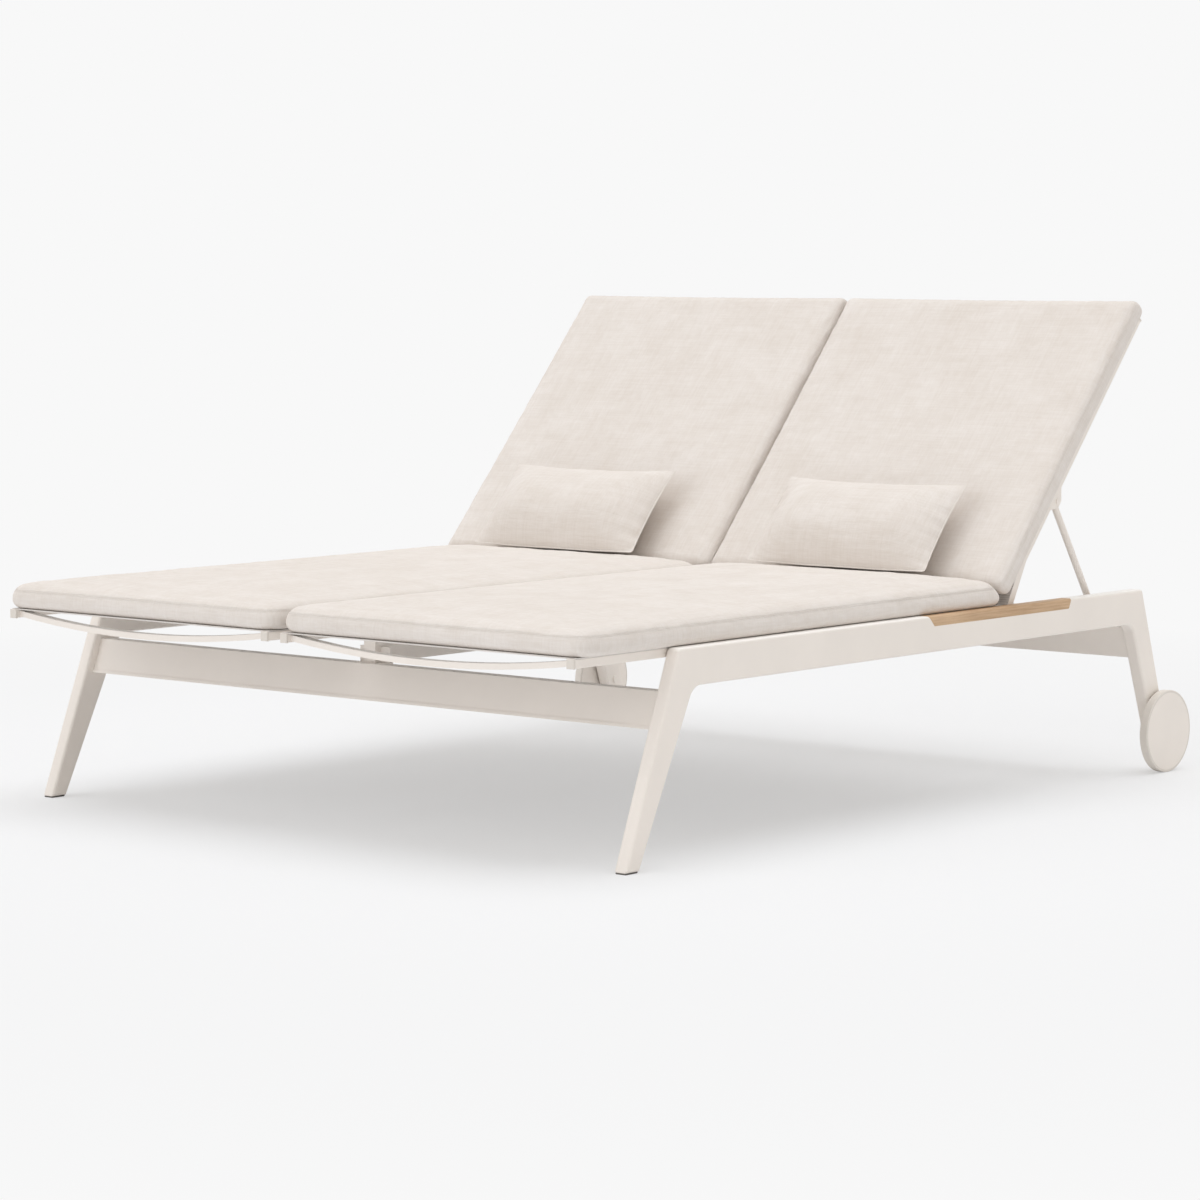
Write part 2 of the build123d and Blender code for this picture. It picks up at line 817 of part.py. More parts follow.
def outer_hinge_pins():
    solids = []
    x_face = rail_inner - running_gap * 2
    head = rod_x(pin_head_radius, x_face - pin_head_height, x_face, hinge_y, hinge_z)
    head = fillet(head.edges().group_by(Axis.X)[0], pin_head_height / 4)
    pin = head + rod_x(hinge_pin_radius, x_face, side_inner + pin_socket_depth, hinge_y, hinge_z)
    solids += [pin, mirrored(pin)]
    return solids


def centre_hinge_pin():
    x_face = mid_outer + running_gap * 2
    pin = rod_x(hinge_pin_radius, -x_face, x_face, hinge_y, hinge_z)
    for x_low in (x_face, -x_face - pin_head_height):
        pin += rod_x(pin_head_radius, x_low, x_low + pin_head_height, hinge_y, hinge_z)
    return pin


# Support stays
def stay_tab(x_low):
    """A plate under a back rail that carries the stay's pivot."""
    seat = hinge_drop - tube_size / 2
    points = (
        (stay_pivot_s - tab_length / 2, seat),
        (stay_pivot_s - tab_tip_radius, stay_pivot_n - tab_tip_radius),
        (stay_pivot_s + tab_tip_radius, stay_pivot_n - tab_tip_radius),
        (stay_pivot_s + tab_length / 2, seat),
    )
    plate = prism(points, x_low, x_low + tab_thickness)
    tips = plate.edges().filter_by(Axis.X).group_by(Axis.Z)[0]
    plate = fillet(tips, tab_tip_radius * 2 / 3)
    plate -= rod_x(stay_pin_radius + bolt_clearance, x_low, x_low + tab_thickness, stay_pivot_s, stay_pivot_n)
    return back_frame * plate


tab_outer_x = stay_outer_x + stay_radius + tab_gap
tab_inner_x = stay_inner_x - stay_radius - tab_gap - tab_thickness


def stay_tabs():
    return [stay_tab(tab_outer_x), stay_tab(tab_inner_x)]


def stay_pins():
    solids = []
    for x_stay, x_tab, side in ((stay_outer_x, tab_outer_x + tab_thickness, 1), (stay_inner_x, tab_inner_x, -1)):
        inner_end = x_stay - side * (stay_radius + tab_gap)
        pin = rod_x(stay_pin_radius, min(inner_end, x_tab), max(inner_end, x_tab), stay_pivot_s, stay_pivot_n)
        for face, way in ((inner_end, -side), (x_tab, side)):
            far = face + way * pin_head_height / 2
            pin += rod_x(2 * stay_pin_radius, min(face, far), max(face, far), stay_pivot_s, stay_pivot_n)
        solids.append(back_frame * pin)
    return solids


def stay_frame():
    return Pos(0, stay_pivot_y, stay_pivot_z) * Rot(-stay_rest_angle, 0, 0)


def stay_bar_ends():
    return centre_half + stay_bar_gap, side_inner - stay_bar_gap


def stay():
    """A round-rod U: two legs that hang from the back and a bar across their feet."""
    x_low, x_high = stay_bar_ends()
    bar = rod_x(stay_radius, x_low, x_high, stay_length, 0)
    bar = fillet(bar.edges(), stay_radius / 5)
    body = bar
    for x in (stay_inner_x, stay_outer_x):
        leg = Pos(x, -stay_head, 0) * Rot(-90, 0, 0) * extrude(Circle(stay_radius), stay_length + stay_head)
        tip = leg.edges().group_by(Axis.Y)[0]
        body += fillet(tip, stay_radius / 3)
    for x in (stay_inner_x, stay_outer_x):
        body -= rod_x(stay_pin_radius + running_gap, x - 2 * stay_radius, x + 2 * stay_radius, 0, 0)
    return stay_frame() * body


# Racks that the stay's bar drops into
def rack_top():
    return stay_foot_z - stay_radius - rack_clearance


def rack(x_low, x_high):
    """A notched rack. Its top edge lies just under the path that the stay's bar takes."""
    reach = stay_radius + rack_clearance
    front = stay_foot_y - rack_front
    top = rack_top()
    hook = stay_foot_z + rack_hook_height / 2
    points = [
        (front, top - rack_depth),
        (front, hook),
        (stay_foot_y - reach, hook),
        (stay_foot_y - reach, top + stay_radius * 2 / 3),
        (stay_foot_y - stay_radius / 2, top),
    ]
    for share in rack_line_shares:
        y, z = stay_foot(share)
        points.append((y, z - reach))
    points.append((points[-1][0], top - rack_depth))
    body = prism(points, x_low, x_high)
    for share in rack_notch_shares:
        y, z = stay_foot(share)
        body -= rod_x(reach, x_low, x_high, y, z - rack_notch_depth)
    hole = bolt_radius + bolt_clearance
    if x_low < half_width / 2:
        hole = screw_radius + bolt_clearance
    for y, z in rack_bolt_places():
        body -= rod_x(hole, x_low, x_high, y, z)
    return body


def racks():
    outer = rack(side_inner - rack_thickness, side_inner)
    inner = rack(centre_half, centre_half + rack_thickness)
    return [outer, mirrored(outer), inner, mirrored(inner)]


def rack_bolts():
    solids = []
    for y, z in rack_bolt_places():
        bolt = bolt_x(side_inner - rack_thickness, rack_thickness + bolt_grip, y, z)
        solids += [bolt, mirrored(bolt)]
        x_face = centre_half + rack_thickness
        through = rod_x(screw_radius, -x_face, x_face, y, z)
        for x_low in (x_face, -x_face - screw_head_height):
            through += rod_x(screw_head_radius, x_low, x_low + screw_head_height, y, z)
        solids.append(through)
    return solids


# Wheels
def wheel_disc():
    radius = wheel_radius - tyre_depth
    body = rod_x(radius, wheel_inner, wheel_outer, wheel_y, wheel_radius)
    body = fillet(body.edges().group_by(Axis.X)[-1], tyre_groove)
    bore = axle_radius + bush_wall
    return body - rod_x(bore, wheel_inner, wheel_outer - hub_cover, wheel_y, wheel_radius)


def wheel_tyre():
    body = rod_x(wheel_radius, wheel_inner, wheel_outer, wheel_y, wheel_radius)
    body = fillet(body.edges(), wheel_edge_round)
    return body - rod_x(wheel_radius - tyre_depth, wheel_inner, wheel_outer, wheel_y, wheel_radius)


def wheel_bush():
    sleeve = rod_x(axle_radius + bush_wall, wheel_inner, wheel_outer - hub_cover, wheel_y, wheel_radius)
    flange = rod_x(bush_flange_radius, wheel_inner - bush_flange, wheel_inner, wheel_y, wheel_radius)
    bore = rod_x(axle_radius + running_gap, half_width, wheel_outer - hub_cover, wheel_y, wheel_radius)
    return sleeve + flange - bore


def wheel_axles():
    head = rod_x(axle_head_radius, side_inner - axle_head_height, side_inner, wheel_y, wheel_radius)
    head = fillet(head.edges().group_by(Axis.X)[0], axle_head_height / 4)
    shank = rod_x(axle_radius, side_inner, wheel_outer - hub_cover - axle_end_gap, wheel_y, wheel_radius)
    axle = head + shank
    return [axle, mirrored(axle)]


def axle_spacers():
    x_high = wheel_inner - bush_flange - running_gap * 2
    ring = rod_x(bush_flange_radius, half_width, x_high, wheel_y, wheel_radius)
    ring -= rod_x(axle_radius + bolt_clearance, half_width, x_high, wheel_y, wheel_radius)
    return [ring, mirrored(ring)]


# Every node, made once for the right-hand side and mirrored where it has a left-hand twin
def as_list(made):
    return list(made) if isinstance(made, (list, tuple)) else [made]


def both_sides(name, made):
    right = as_list(made)
    return {name + "_right": right, name + "_left": [mirrored(solid) for solid in right]}


def all_nodes():
    nodes = {
        "front_crossbeam": crossbeam(True),
        "rear_crossbeam": crossbeam(False),
        "crossbeam_bolts": beam_bolts(),
        "centre_beam": centre_beam(),
        "centre_beam_brackets": beam_brackets(),
        "centre_beam_saddles": beam_saddles(),
        "saddle_screws": saddle_screws(),
        "seat_rail_caps": seat_caps(),
        "seat_bolts": seat_bolts(),
        "seat_spacers": seat_spacers(),
        "outer_hinge_pins": outer_hinge_pins(),
        "centre_hinge_pin": centre_hinge_pin(),
        "stay_racks": racks(),
        "rack_bolts": rack_bolts(),
        "wheel_axles": wheel_axles(),
        "axle_spacers": axle_spacers(),
        "foot_glides": [foot_glide(), mirrored(foot_glide())],
    }
    nodes.update(both_sides("side_frame", side_frame()))
    nodes.update(both_sides("armrest_inlay", armrest_inlay()))
    nodes.update(both_sides("seat_outer_rail", seat_rail(rail_inner, True)))
    nodes.update(both_sides("seat_inner_rail", seat_rail(centre_gap, False)))
    nodes.update(both_sides("seat_bows", seat_bows()))
    nodes.update(both_sides("seat_sling", seat_sling()))
    nodes.update(both_sides("seat_cushion", seat_cushion()))
    nodes.update(both_sides("back_outer_rail", back_rail(rail_inner)))
    nodes.update(both_sides("back_inner_rail", back_rail(centre_gap)))
    nodes.update(both_sides("back_bows", back_bows()))
    nodes.update(both_sides("back_rail_caps", back_caps()))
    nodes.update(both_sides("back_sling", back_sling()))
    nodes.update(both_sides("back_cushion", back_cushion()))
    nodes.update(both_sides("lumbar_pillow", lumbar_pillow()))
    nodes.update(both_sides("hinge_bushes", hinge_bushes()))
    nodes.update(both_sides("stay_tabs", stay_tabs()))
    nodes.update(both_sides("stay_pins", stay_pins()))
    nodes.update(both_sides("stay", stay()))
    nodes.update(both_sides("wheel_disc", wheel_disc()))
    nodes.update(both_sides("wheel_tyre", wheel_tyre()))
    nodes.update(both_sides("wheel_bush", wheel_bush()))
    return nodes


def write_parts():
    os.makedirs("parts", exist_ok=True)
    for name, made in all_nodes().items():
        solids = [solid for item in as_list(made) for solid in item.solids()]
        shape = solids[0] if len(solids) == 1 else Compound(children=solids)
        export_step(shape, os.path.join("parts", name + ".step"))


write_parts()
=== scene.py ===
import json
import math

import bpy
import numpy as np
from bpy.props import FloatProperty, FloatVectorProperty, PointerProperty
from mathutils import Matrix, Vector


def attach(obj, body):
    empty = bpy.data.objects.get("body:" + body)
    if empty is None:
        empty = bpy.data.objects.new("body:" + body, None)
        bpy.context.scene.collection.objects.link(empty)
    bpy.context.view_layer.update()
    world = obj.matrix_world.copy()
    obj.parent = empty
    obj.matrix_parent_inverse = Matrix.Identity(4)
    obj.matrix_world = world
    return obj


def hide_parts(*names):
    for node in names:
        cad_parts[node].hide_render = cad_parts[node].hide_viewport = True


bl_info = {
    "name": "Double Chaise Lounger",
    "version": (1, 0, 0),
    "blender": (4, 5, 0),
    "location": "View3D > Sidebar > Chaise",
    "description": "Cushions, pillows, finishes and studio for the packed double chaise lounger",
    "category": "Object",
}

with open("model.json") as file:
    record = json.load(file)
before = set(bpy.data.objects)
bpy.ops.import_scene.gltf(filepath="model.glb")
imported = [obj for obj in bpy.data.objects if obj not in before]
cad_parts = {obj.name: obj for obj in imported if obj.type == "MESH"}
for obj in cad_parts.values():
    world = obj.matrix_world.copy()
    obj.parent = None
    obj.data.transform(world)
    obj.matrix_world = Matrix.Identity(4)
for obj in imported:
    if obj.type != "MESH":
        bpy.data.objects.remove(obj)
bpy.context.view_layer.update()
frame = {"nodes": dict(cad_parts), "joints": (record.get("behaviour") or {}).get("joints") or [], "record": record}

SIDES = ("left", "right")
MM = 0.001
IDENTITY = Matrix.Identity(4)


def hinge_frame():
    """The raised back's own frame: X across, Y up along the back, Z out of its front."""
    joint = next(j for j in frame["joints"] if j["name"] == "backrest_right_hinge")
    recline = math.radians(-joint["range_deg"][0])
    place = Vector((0.0, joint["pos_m"][1], joint["pos_m"][2]))
    return Matrix.Translation(place) @ Matrix.Rotation(recline, 4, "X")


BACK_FRAME = hinge_frame()


def local_box(node, matrix):
    """Lowest and highest corners of a CAD node, measured in a turned frame."""
    turned = matrix.inverted()
    points = np.array([turned @ v.co for v in frame["nodes"][node].data.vertices])
    return points.min(axis=0), points.max(axis=0)


def new_object(name, data):
    """An object in the scene, made of a mesh, a lamp or a camera."""
    made = bpy.data.objects.new(name, data)
    bpy.context.scene.collection.objects.link(made)
    return made


def smooth_object(name, points, faces):
    """A smoothly shaded mesh object."""
    mesh = bpy.data.meshes.new(name)
    mesh.from_pydata(points, [], faces)
    mesh.validate()
    mesh.polygons.foreach_set("use_smooth", [True] * len(mesh.polygons))
    mesh.update()
    return new_object(name, mesh)


class FabricSettings(bpy.types.PropertyGroup):
    """Sizes and colours of the cushions and pillows"""

    cloth_colour: FloatVectorProperty(
        name="Cloth colour", description="Base colour of the woven cover", subtype="COLOR",
        size=3, min=0.0, max=1.0, default=(0.84, 0.797, 0.76))
    shade_colour: FloatVectorProperty(
        name="Shade colour", description="Darker yarns and clouds in the weave", subtype="COLOR",
        size=3, min=0.0, max=1.0, default=(0.70, 0.634, 0.572))
    thread_pitch: FloatProperty(
        name="Thread pitch", description="Distance from one thread to the next", unit="LENGTH",
        default=1.1 * MM, min=0.2 * MM)
    seam_lip: FloatProperty(
        name="Seam lip", description="How far the edge seam stands out", unit="LENGTH",
        default=1.3 * MM, min=0.0)
    stitch_length: FloatProperty(
        name="Stitch length", description="Length of one stitch beside a seam", unit="LENGTH",
        default=4.5 * MM, min=0.5 * MM)
    edge_ease: FloatProperty(
        name="Cover ease", description="How much larger the cover is cut than its foam",
        subtype="FACTOR", default=0.006, min=0.0, max=0.1)
    pillow_ease: FloatProperty(
        name="Pillow ease", description="How much larger a pillow's cover is cut than its filling",
        subtype="FACTOR", default=0.014, min=0.0, max=0.1)
    meeting: FloatProperty(
        name="Meeting", unit="LENGTH", default=7.0 * MM, min=0.0, max=7.0 * MM,
        description="How far each back's cover reaches beyond its foam towards the other back")


class FrameSettings(bpy.types.PropertyGroup):
    """Colours of the frame, the wood and the fittings"""

    coat_colour: FloatVectorProperty(
        name="Coat colour", description="Powder coat of the frame", subtype="COLOR",
        size=3, min=0.0, max=1.0, default=(0.91, 0.852, 0.792))
    coat_roughness: FloatProperty(
        name="Coat roughness", description="How matt the powder coat is", subtype="FACTOR",
        default=0.48, min=0.0, max=1.0)
    teak_light: FloatVectorProperty(
        name="Light teak", description="Wood between the grain lines", subtype="COLOR",
        size=3, min=0.0, max=1.0, default=(0.70, 0.49, 0.305))
    teak_dark: FloatVectorProperty(
        name="Dark teak", description="Grain lines of the wood", subtype="COLOR",
        size=3, min=0.0, max=1.0, default=(0.37, 0.215, 0.105))
    fitting_colour: FloatVectorProperty(
        name="Fitting colour", description="Plastic caps, bushes and racks", subtype="COLOR",
        size=3, min=0.0, max=1.0, default=(0.76, 0.71, 0.65))


class StageSettings(bpy.types.PropertyGroup):
    """Camera, lights and floor"""

    camera_place: FloatVectorProperty(
        name="Camera place", description="Where the camera stands", subtype="TRANSLATION",
        size=3, default=(4.9437, -5.9577, 1.0877))
    camera_turn: FloatProperty(
        name="Camera turn", description="Direction of view about the vertical", subtype="ANGLE",
        default=math.radians(39.856))
    camera_fall: FloatProperty(
        name="Camera fall", description="How far the view looks down", subtype="ANGLE",
        default=math.radians(5.2495))
    camera_lens: FloatProperty(
        name="Lens", description="Focal length in millimetres on a 36 mm wide sensor",
        default=115.07, min=1.0)
    backdrop: FloatProperty(
        name="Backdrop", description="Brightness of the floor and the background", subtype="FACTOR",
        default=0.939, min=0.0, max=1.0)
    ambient: FloatProperty(
        name="Ambient light", description="Even light from all around", default=0.57, min=0.0)
    overhead: FloatProperty(
        name="Overhead light", description="Strength of the soft light from above", default=1.50, min=0.0)
    fill: FloatProperty(
        name="Front light", description="Strength of the soft light from the front", default=0.59, min=0.0)
    shadow_share: FloatProperty(
        name="Shadow depth", description="How much of the floor's own shading the camera sees",
        subtype="FACTOR", default=0.52, min=0.0, max=1.0)
    near_glow: FloatProperty(
        name="Near glow", description="Strength of the floor's glow near the lounger, which is 1 far away",
        subtype="FACTOR", default=0.90, min=0.0, max=1.0)
    floor_radius: FloatProperty(
        name="Floor radius", description="Radius of the floor", unit="LENGTH", default=14.0, min=1.0)


# Node helpers: noise without a stretch, a Mix node's colour sockets, and the bands that Blender's wave
# texture has in one turn of length at scale 1
EVEN = (1.0, 1.0, 1.0)
COLOUR_INPUTS = (6, 7)
COLOUR_OUTPUT = 2
BANDS_PER_TURN = 20.0
NODE_WIDTH = 220
NODE_HEIGHT = 320
NODES_PER_COLUMN = 6


def add_node(tree, kind, **values):
    """A shader node in the next place, with its settings and its inputs' values by name."""
    column, row = divmod(len(tree.nodes), NODES_PER_COLUMN)
    made = tree.nodes.new(kind)
    made.location = (column * NODE_WIDTH, -row * NODE_HEIGHT)
    for key, value in values.items():
        if hasattr(made, key):
            setattr(made, key, value)
        else:
            made.inputs[key.replace("_", " ")].default_value = value
    return made


def new_material(name, colour, roughness):
    """A material with a Principled shader, and the tree, the shader and its object coordinates."""
    material = bpy.data.materials.new(name)
    material.use_nodes = True
    tree = material.node_tree
    shader = tree.nodes["Principled BSDF"]
    shader.inputs["Base Color"].default_value = (*colour, 1.0)
    shader.inputs["Roughness"].default_value = roughness
    coords = add_node(tree, "ShaderNodeTexCoord")
    return material, tree, shader, coords


def stretched_noise(tree, coords, stretch, scale, detail, roughness=0.55):
    """Noise in object space, whose scale is multiplied by a factor along each axis."""
    mapping = add_node(tree, "ShaderNodeMapping", Scale=stretch)
    noise = add_node(tree, "ShaderNodeTexNoise", Scale=scale, Detail=detail, Roughness=roughness)
    tree.links.new(coords.outputs["Object"], mapping.inputs["Vector"])
    tree.links.new(mapping.outputs["Vector"], noise.inputs["Vector"])
    return noise.outputs["Fac"]


def value_range(tree, source, low, high, to_low=0.0, to_high=1.0):
    """A value between two limits spread over another span, and held at its ends beyond them."""
    made = add_node(tree, "ShaderNodeMapRange",
                    From_Min=low, From_Max=high, To_Min=to_low, To_Max=to_high)
    tree.links.new(source, made.inputs["Value"])
    return made.outputs["Result"]


def math_node(tree, operation, first, second):
    """The sum, product or larger one of two values, each a socket or a number."""
    made = add_node(tree, "ShaderNodeMath", operation=operation)
    for socket, source in zip(made.inputs, (first, second)):
        if isinstance(source, float):
            socket.default_value = source
        else:
            tree.links.new(source, socket)
    return made.outputs["Value"]


def add_up(tree, first, *others):
    """The sum of two or more sockets."""
    for other in others:
        first = math_node(tree, "ADD", first, other)
    return first


def colour_mix(tree, factor, first, second):
    """A mix of two colours, each a socket or three numbers."""
    made = add_node(tree, "ShaderNodeMix", data_type="RGBA")
    tree.links.new(factor, made.inputs["Factor"])
    for index, source in zip(COLOUR_INPUTS, (first, second)):
        if isinstance(source, tuple):
            made.inputs[index].default_value = (*source, 1.0)
        else:
            tree.links.new(source, made.inputs[index])
    return made.outputs[COLOUR_OUTPUT]


def colour_by(tree, shader, tone, first, second):
    """Colours a shader with a mix of two colours."""
    tree.links.new(colour_mix(tree, tone, first, second), shader.inputs["Base Color"])


def roughen_by(tree, shader, source, smooth, rough):
    """Lets the roughness of a shader follow a value's middle range."""
    tree.links.new(value_range(tree, source, 0.3, 0.7, smooth, rough), shader.inputs["Roughness"])


def add_bump(tree, shader, height, strength, distance):
    """Raises a surface by a height value, up to a distance in metres."""
    bump = add_node(tree, "ShaderNodeBump", Strength=strength, Distance=distance)
    tree.links.new(height, bump.inputs["Height"])
    tree.links.new(bump.outputs["Normal"], shader.inputs["Normal"])


# Finishes
def thread_waves(tree, coords, direction, pitch):
    """Threads side by side along one axis, a pitch apart and each a little out of line."""
    return add_wave(tree, coords, direction, math.tau / (BANDS_PER_TURN * pitch))


def add_wave(tree, coords, direction, scale):
    """Bands across one direction of object space, a little bent."""
    wave = add_node(tree, "ShaderNodeTexWave", wave_type="BANDS", bands_direction=direction,
                    Scale=scale, Distortion=1.4, Detail=2.0, Detail_Scale=0.35)
    tree.links.new(coords.outputs["Object"], wave.inputs["Vector"])
    return wave.outputs["Fac"]


def three_ways(tree, coords, slow, scale, detail, roughness=0.55):
    """Streaks across each axis, added up, so that every face shows two directions crossing."""
    stretches = [[1.0 if axis == fast else slow for axis in "XYZ"] for fast in "XYZ"]
    return add_up(tree, *(stretched_noise(tree, coords, stretch, scale, detail, roughness)
                          for stretch in stretches))


def cover_cloth(settings):
    """Outdoor linen weave: crossing threads, slubs and soft clouds of tone."""
    colour = tuple(settings.cloth_colour)
    shade = tuple(settings.shade_colour)
    material, tree, shader, coords = new_material("cover_cloth", colour, roughness=0.9)
    shader.inputs["Sheen Weight"].default_value = 0.05
    shader.inputs["Sheen Roughness"].default_value = 0.55
    shader.inputs["Specular IOR Level"].default_value = 0.12
    pitch = settings.thread_pitch
    thread_share, slub_share, cloud_share, shade_share = 0.34, 0.50, 0.30, 0.72
    threads = three_ways(tree, coords, slow=0.06, scale=1.0 / pitch, detail=2.0)
    slubs = three_ways(tree, coords, slow=0.03, scale=240.0, detail=3.0, roughness=0.65)
    clouds = stretched_noise(tree, coords, EVEN, scale=13.0, detail=5.0, roughness=0.6)
    thread_tone = value_range(tree, threads, 1.22, 1.78, to_high=thread_share)
    slub_tone = value_range(tree, slubs, 1.22, 1.85, to_high=slub_share)
    cloud_tone = value_range(tree, clouds, 0.34, 0.66, to_high=cloud_share)
    tone = add_up(tree, slub_tone, thread_tone, cloud_tone)
    tone = math_node(tree, "MULTIPLY", tone, shade_share)
    colour_by(tree, shader, tone, colour, shade)
    thread_height, slub_height = 0.4, 0.55
    woven = add_up(tree, *(thread_waves(tree, coords, axis, pitch) for axis in "XYZ"))
    woven = math_node(tree, "MULTIPLY", woven, thread_height)
    raised = math_node(tree, "MULTIPLY", slubs, slub_height)
    add_bump(tree, shader, add_up(tree, woven, raised), strength=0.4, distance=0.45 * MM)
    return material


def stitch_thread(settings):
    """Twisted sewing thread, a little lighter than the cloth."""
    colour = tuple(min(1.0, 1.06 * c) for c in settings.cloth_colour)
    material, tree, shader, coords = new_material("stitch_thread", colour, roughness=0.55)
    twist = add_wave(tree, coords, "DIAGONAL", 900.0)
    darker = tuple(0.82 * c for c in colour)
    colour_by(tree, shader, twist, colour, darker)
    add_bump(tree, shader, twist, strength=0.3, distance=0.1 * MM)
    return material


def powder_coat(settings):
    """Matt powder coat with a fine orange-peel surface, and a painted highlight that makes its upper faces paler.
    """
    colour = tuple(settings.coat_colour)
    material, tree, shader, coords = new_material("powder_coat", colour, settings.coat_roughness)
    shader.inputs["Specular IOR Level"].default_value = 0.45
    peel = stretched_noise(tree, coords, EVEN, scale=900.0, detail=2.0)
    drift = stretched_noise(tree, coords, EVEN, scale=9.0, detail=3.0)
    tone = value_range(tree, drift, 0.3, 0.7)
    darker = tuple(0.965 * c for c in colour)
    painted = colour_mix(tree, tone, colour, darker)
    # Painted highlight: faces that look upwards are mixed towards a paler colour, standing in for the light from
    # above
    facing = add_node(tree, "ShaderNodeNewGeometry")
    height = add_node(tree, "ShaderNodeSeparateXYZ")
    tree.links.new(facing.outputs["Normal"], height.inputs["Vector"])
    painted_highlight = value_range(tree, height.outputs["Z"], 0.35, 1.0)
    lighter = (0.955, 0.93, 0.895)
    colour_by(tree, shader, painted_highlight, painted, lighter)
    roughen_by(tree, shader, peel, settings.coat_roughness - 0.05, settings.coat_roughness + 0.07)
    add_bump(tree, shader, peel, strength=0.12, distance=0.15 * MM)
    return material


def oiled_teak(settings):
    """Pale teak with grain along the rail, darker growth lines and fine pores."""
    light = tuple(settings.teak_light)
    dark = tuple(settings.teak_dark)
    material, tree, shader, coords = new_material("oiled_teak", light, roughness=0.5)
    warp = stretched_noise(tree, coords, (1.0, 0.12, 1.0), scale=26.0, detail=3.0)
    lines = stretched_noise(tree, coords, (1.0, 0.022, 1.0), scale=420.0, detail=4.0, roughness=0.65)
    pores = stretched_noise(tree, coords, (1.0, 0.03, 1.0), scale=1900.0, detail=2.0)
    bands = value_range(tree, warp, 0.35, 0.65, to_high=0.75)
    fine = value_range(tree, lines, 0.34, 0.66, to_high=0.65)
    specks = value_range(tree, pores, 0.60, 0.72, to_high=0.35)
    tone = math_node(tree, "MULTIPLY", add_up(tree, bands, fine, specks), 0.7)
    colour_by(tree, shader, tone, light, dark)
    roughen_by(tree, shader, lines, 0.42, 0.6)
    add_bump(tree, shader, specks, strength=0.25, distance=-0.3 * MM)
    return material


def satin_plastic(name, colour, roughness):
    """Moulded plastic with a fine grained surface."""
    material, tree, shader, coords = new_material(name, colour, roughness)
    grain = stretched_noise(tree, coords, EVEN, scale=1400.0, detail=2.0)
    tone = value_range(tree, grain, 0.3, 0.7)
    darker = tuple(0.93 * c for c in colour)
    colour_by(tree, shader, tone, colour, darker)
    add_bump(tree, shader, grain, strength=0.15, distance=0.1 * MM)
    return material


def brushed_metal(name, colour):
    """Stainless fasteners with fine turning marks."""
    material, tree, shader, coords = new_material(name, colour, roughness=0.32)
    shader.inputs["Metallic"].default_value = 1.0
    marks = stretched_noise(tree, coords, (0.08, 1.0, 1.0), scale=1500.0, detail=2.0)
    roughen_by(tree, shader, marks, 0.22, 0.42)
    add_bump(tree, shader, marks, strength=0.08, distance=0.05 * MM)
    return material


def sling_mesh(settings):
    """Coated yarn sheet under the cushions, in a plain open weave, with painted shade in the gaps between its
    yarns.
    """
    colour = tuple(0.93 * c for c in settings.cloth_colour)
    dark = tuple(0.66 * c for c in settings.cloth_colour)
    material, tree, shader, coords = new_material("sling_mesh", colour, roughness=0.6)
    yarn_pitch = 2.4 * MM
    across = thread_waves(tree, coords, "X", yarn_pitch)
    along = thread_waves(tree, coords, "Y", yarn_pitch)
    worn = stretched_noise(tree, coords, EVEN, scale=24.0, detail=3.0)
    both = math_node(tree, "MULTIPLY", across, along)
    # Painted shade: the gaps between the yarns are darkened, standing for the shade seen through the open weave;
    # the clouds below are random tone
    painted_gap_shade = value_range(tree, both, 0.04, 0.30, to_low=0.85, to_high=0.0)
    cloudy = value_range(tree, worn, 0.35, 0.65, to_high=0.12)
    colour_by(tree, shader, add_up(tree, painted_gap_shade, cloudy), colour, dark)
    add_bump(tree, shader, both, strength=0.3, distance=0.4 * MM)
    return material


# Padded pieces. A shell is a top grid, rings down its sides and a bottom grid.
def border(columns, rows):
    """Grid places around the border, each once, counterclockwise from above."""
    lower = [(i, 0) for i in range(columns)]
    right = [(columns, j) for j in range(rows)]
    upper = [(columns - i, rows) for i in range(columns)]
    left = [(0, rows - j) for j in range(rows)]
    return lower + right + upper + left


def spread(half, edge_steps, step):
    """Places from -half to half, close together at both ends and a step apart between."""
    ends = np.cumsum([0.0] + list(edge_steps))
    inner = half - ends[-1]
    count = max(2, int(round(2.0 * inner / step)))
    middle = np.linspace(-inner, inner, count + 1)
    return np.concatenate((-half + ends[:-1], middle, half - ends[:-1][::-1]))


def outline(u, v, half_x, half_y, radius, draw):
    """A point of a rounded rectangle whose sides pull in between the corners. One of u and v is 1 or -1.

    The draw is a distance for the two sides, one for the front and one for the rear.
    """
    x = half_x * u
    y = half_y * v
    corner_x = half_x - radius
    corner_y = half_y - radius
    if abs(x) > corner_x and abs(y) > corner_y:
        from_corner = Vector((abs(x) - corner_x, abs(y) - corner_y)).normalized() * radius
        x = math.copysign(corner_x + from_corner.x, x)
        y = math.copysign(corner_y + from_corner.y, y)
    pull_x = draw[0] * max(0.0, 1.0 - (y / half_y) ** 2) * (x / half_x)
    pull_y = draw[1 if y < 0.0 else 2] * max(0.0, 1.0 - (x / half_x) ** 2) * (y / half_y)
    return x - pull_x, y - pull_y


def face_grid(xs, ys, half_x, half_y, radius, draw):
    """A grid over the outline. Returns plan places, and how far each lies from the sides, front and rear."""
    span_x, span_y = xs[-1], ys[-1]
    grid = np.zeros((len(xs), len(ys), 2))
    for i, x in enumerate(xs):
        for j, y in enumerate(ys):
            u, v = x / span_x, y / span_y
            reach = max(abs(u), abs(v))
            if reach > 0.0:
                px, py = outline(u / reach, v / reach, half_x, half_y, radius, draw)
                grid[i, j] = (px * reach, py * reach)
    u, v = np.meshgrid(xs / span_x, ys / span_y, indexing="ij")
    return grid, ((1.0 - np.abs(u)) * half_x, (1.0 + v) * half_y, (1.0 - v) * half_y)


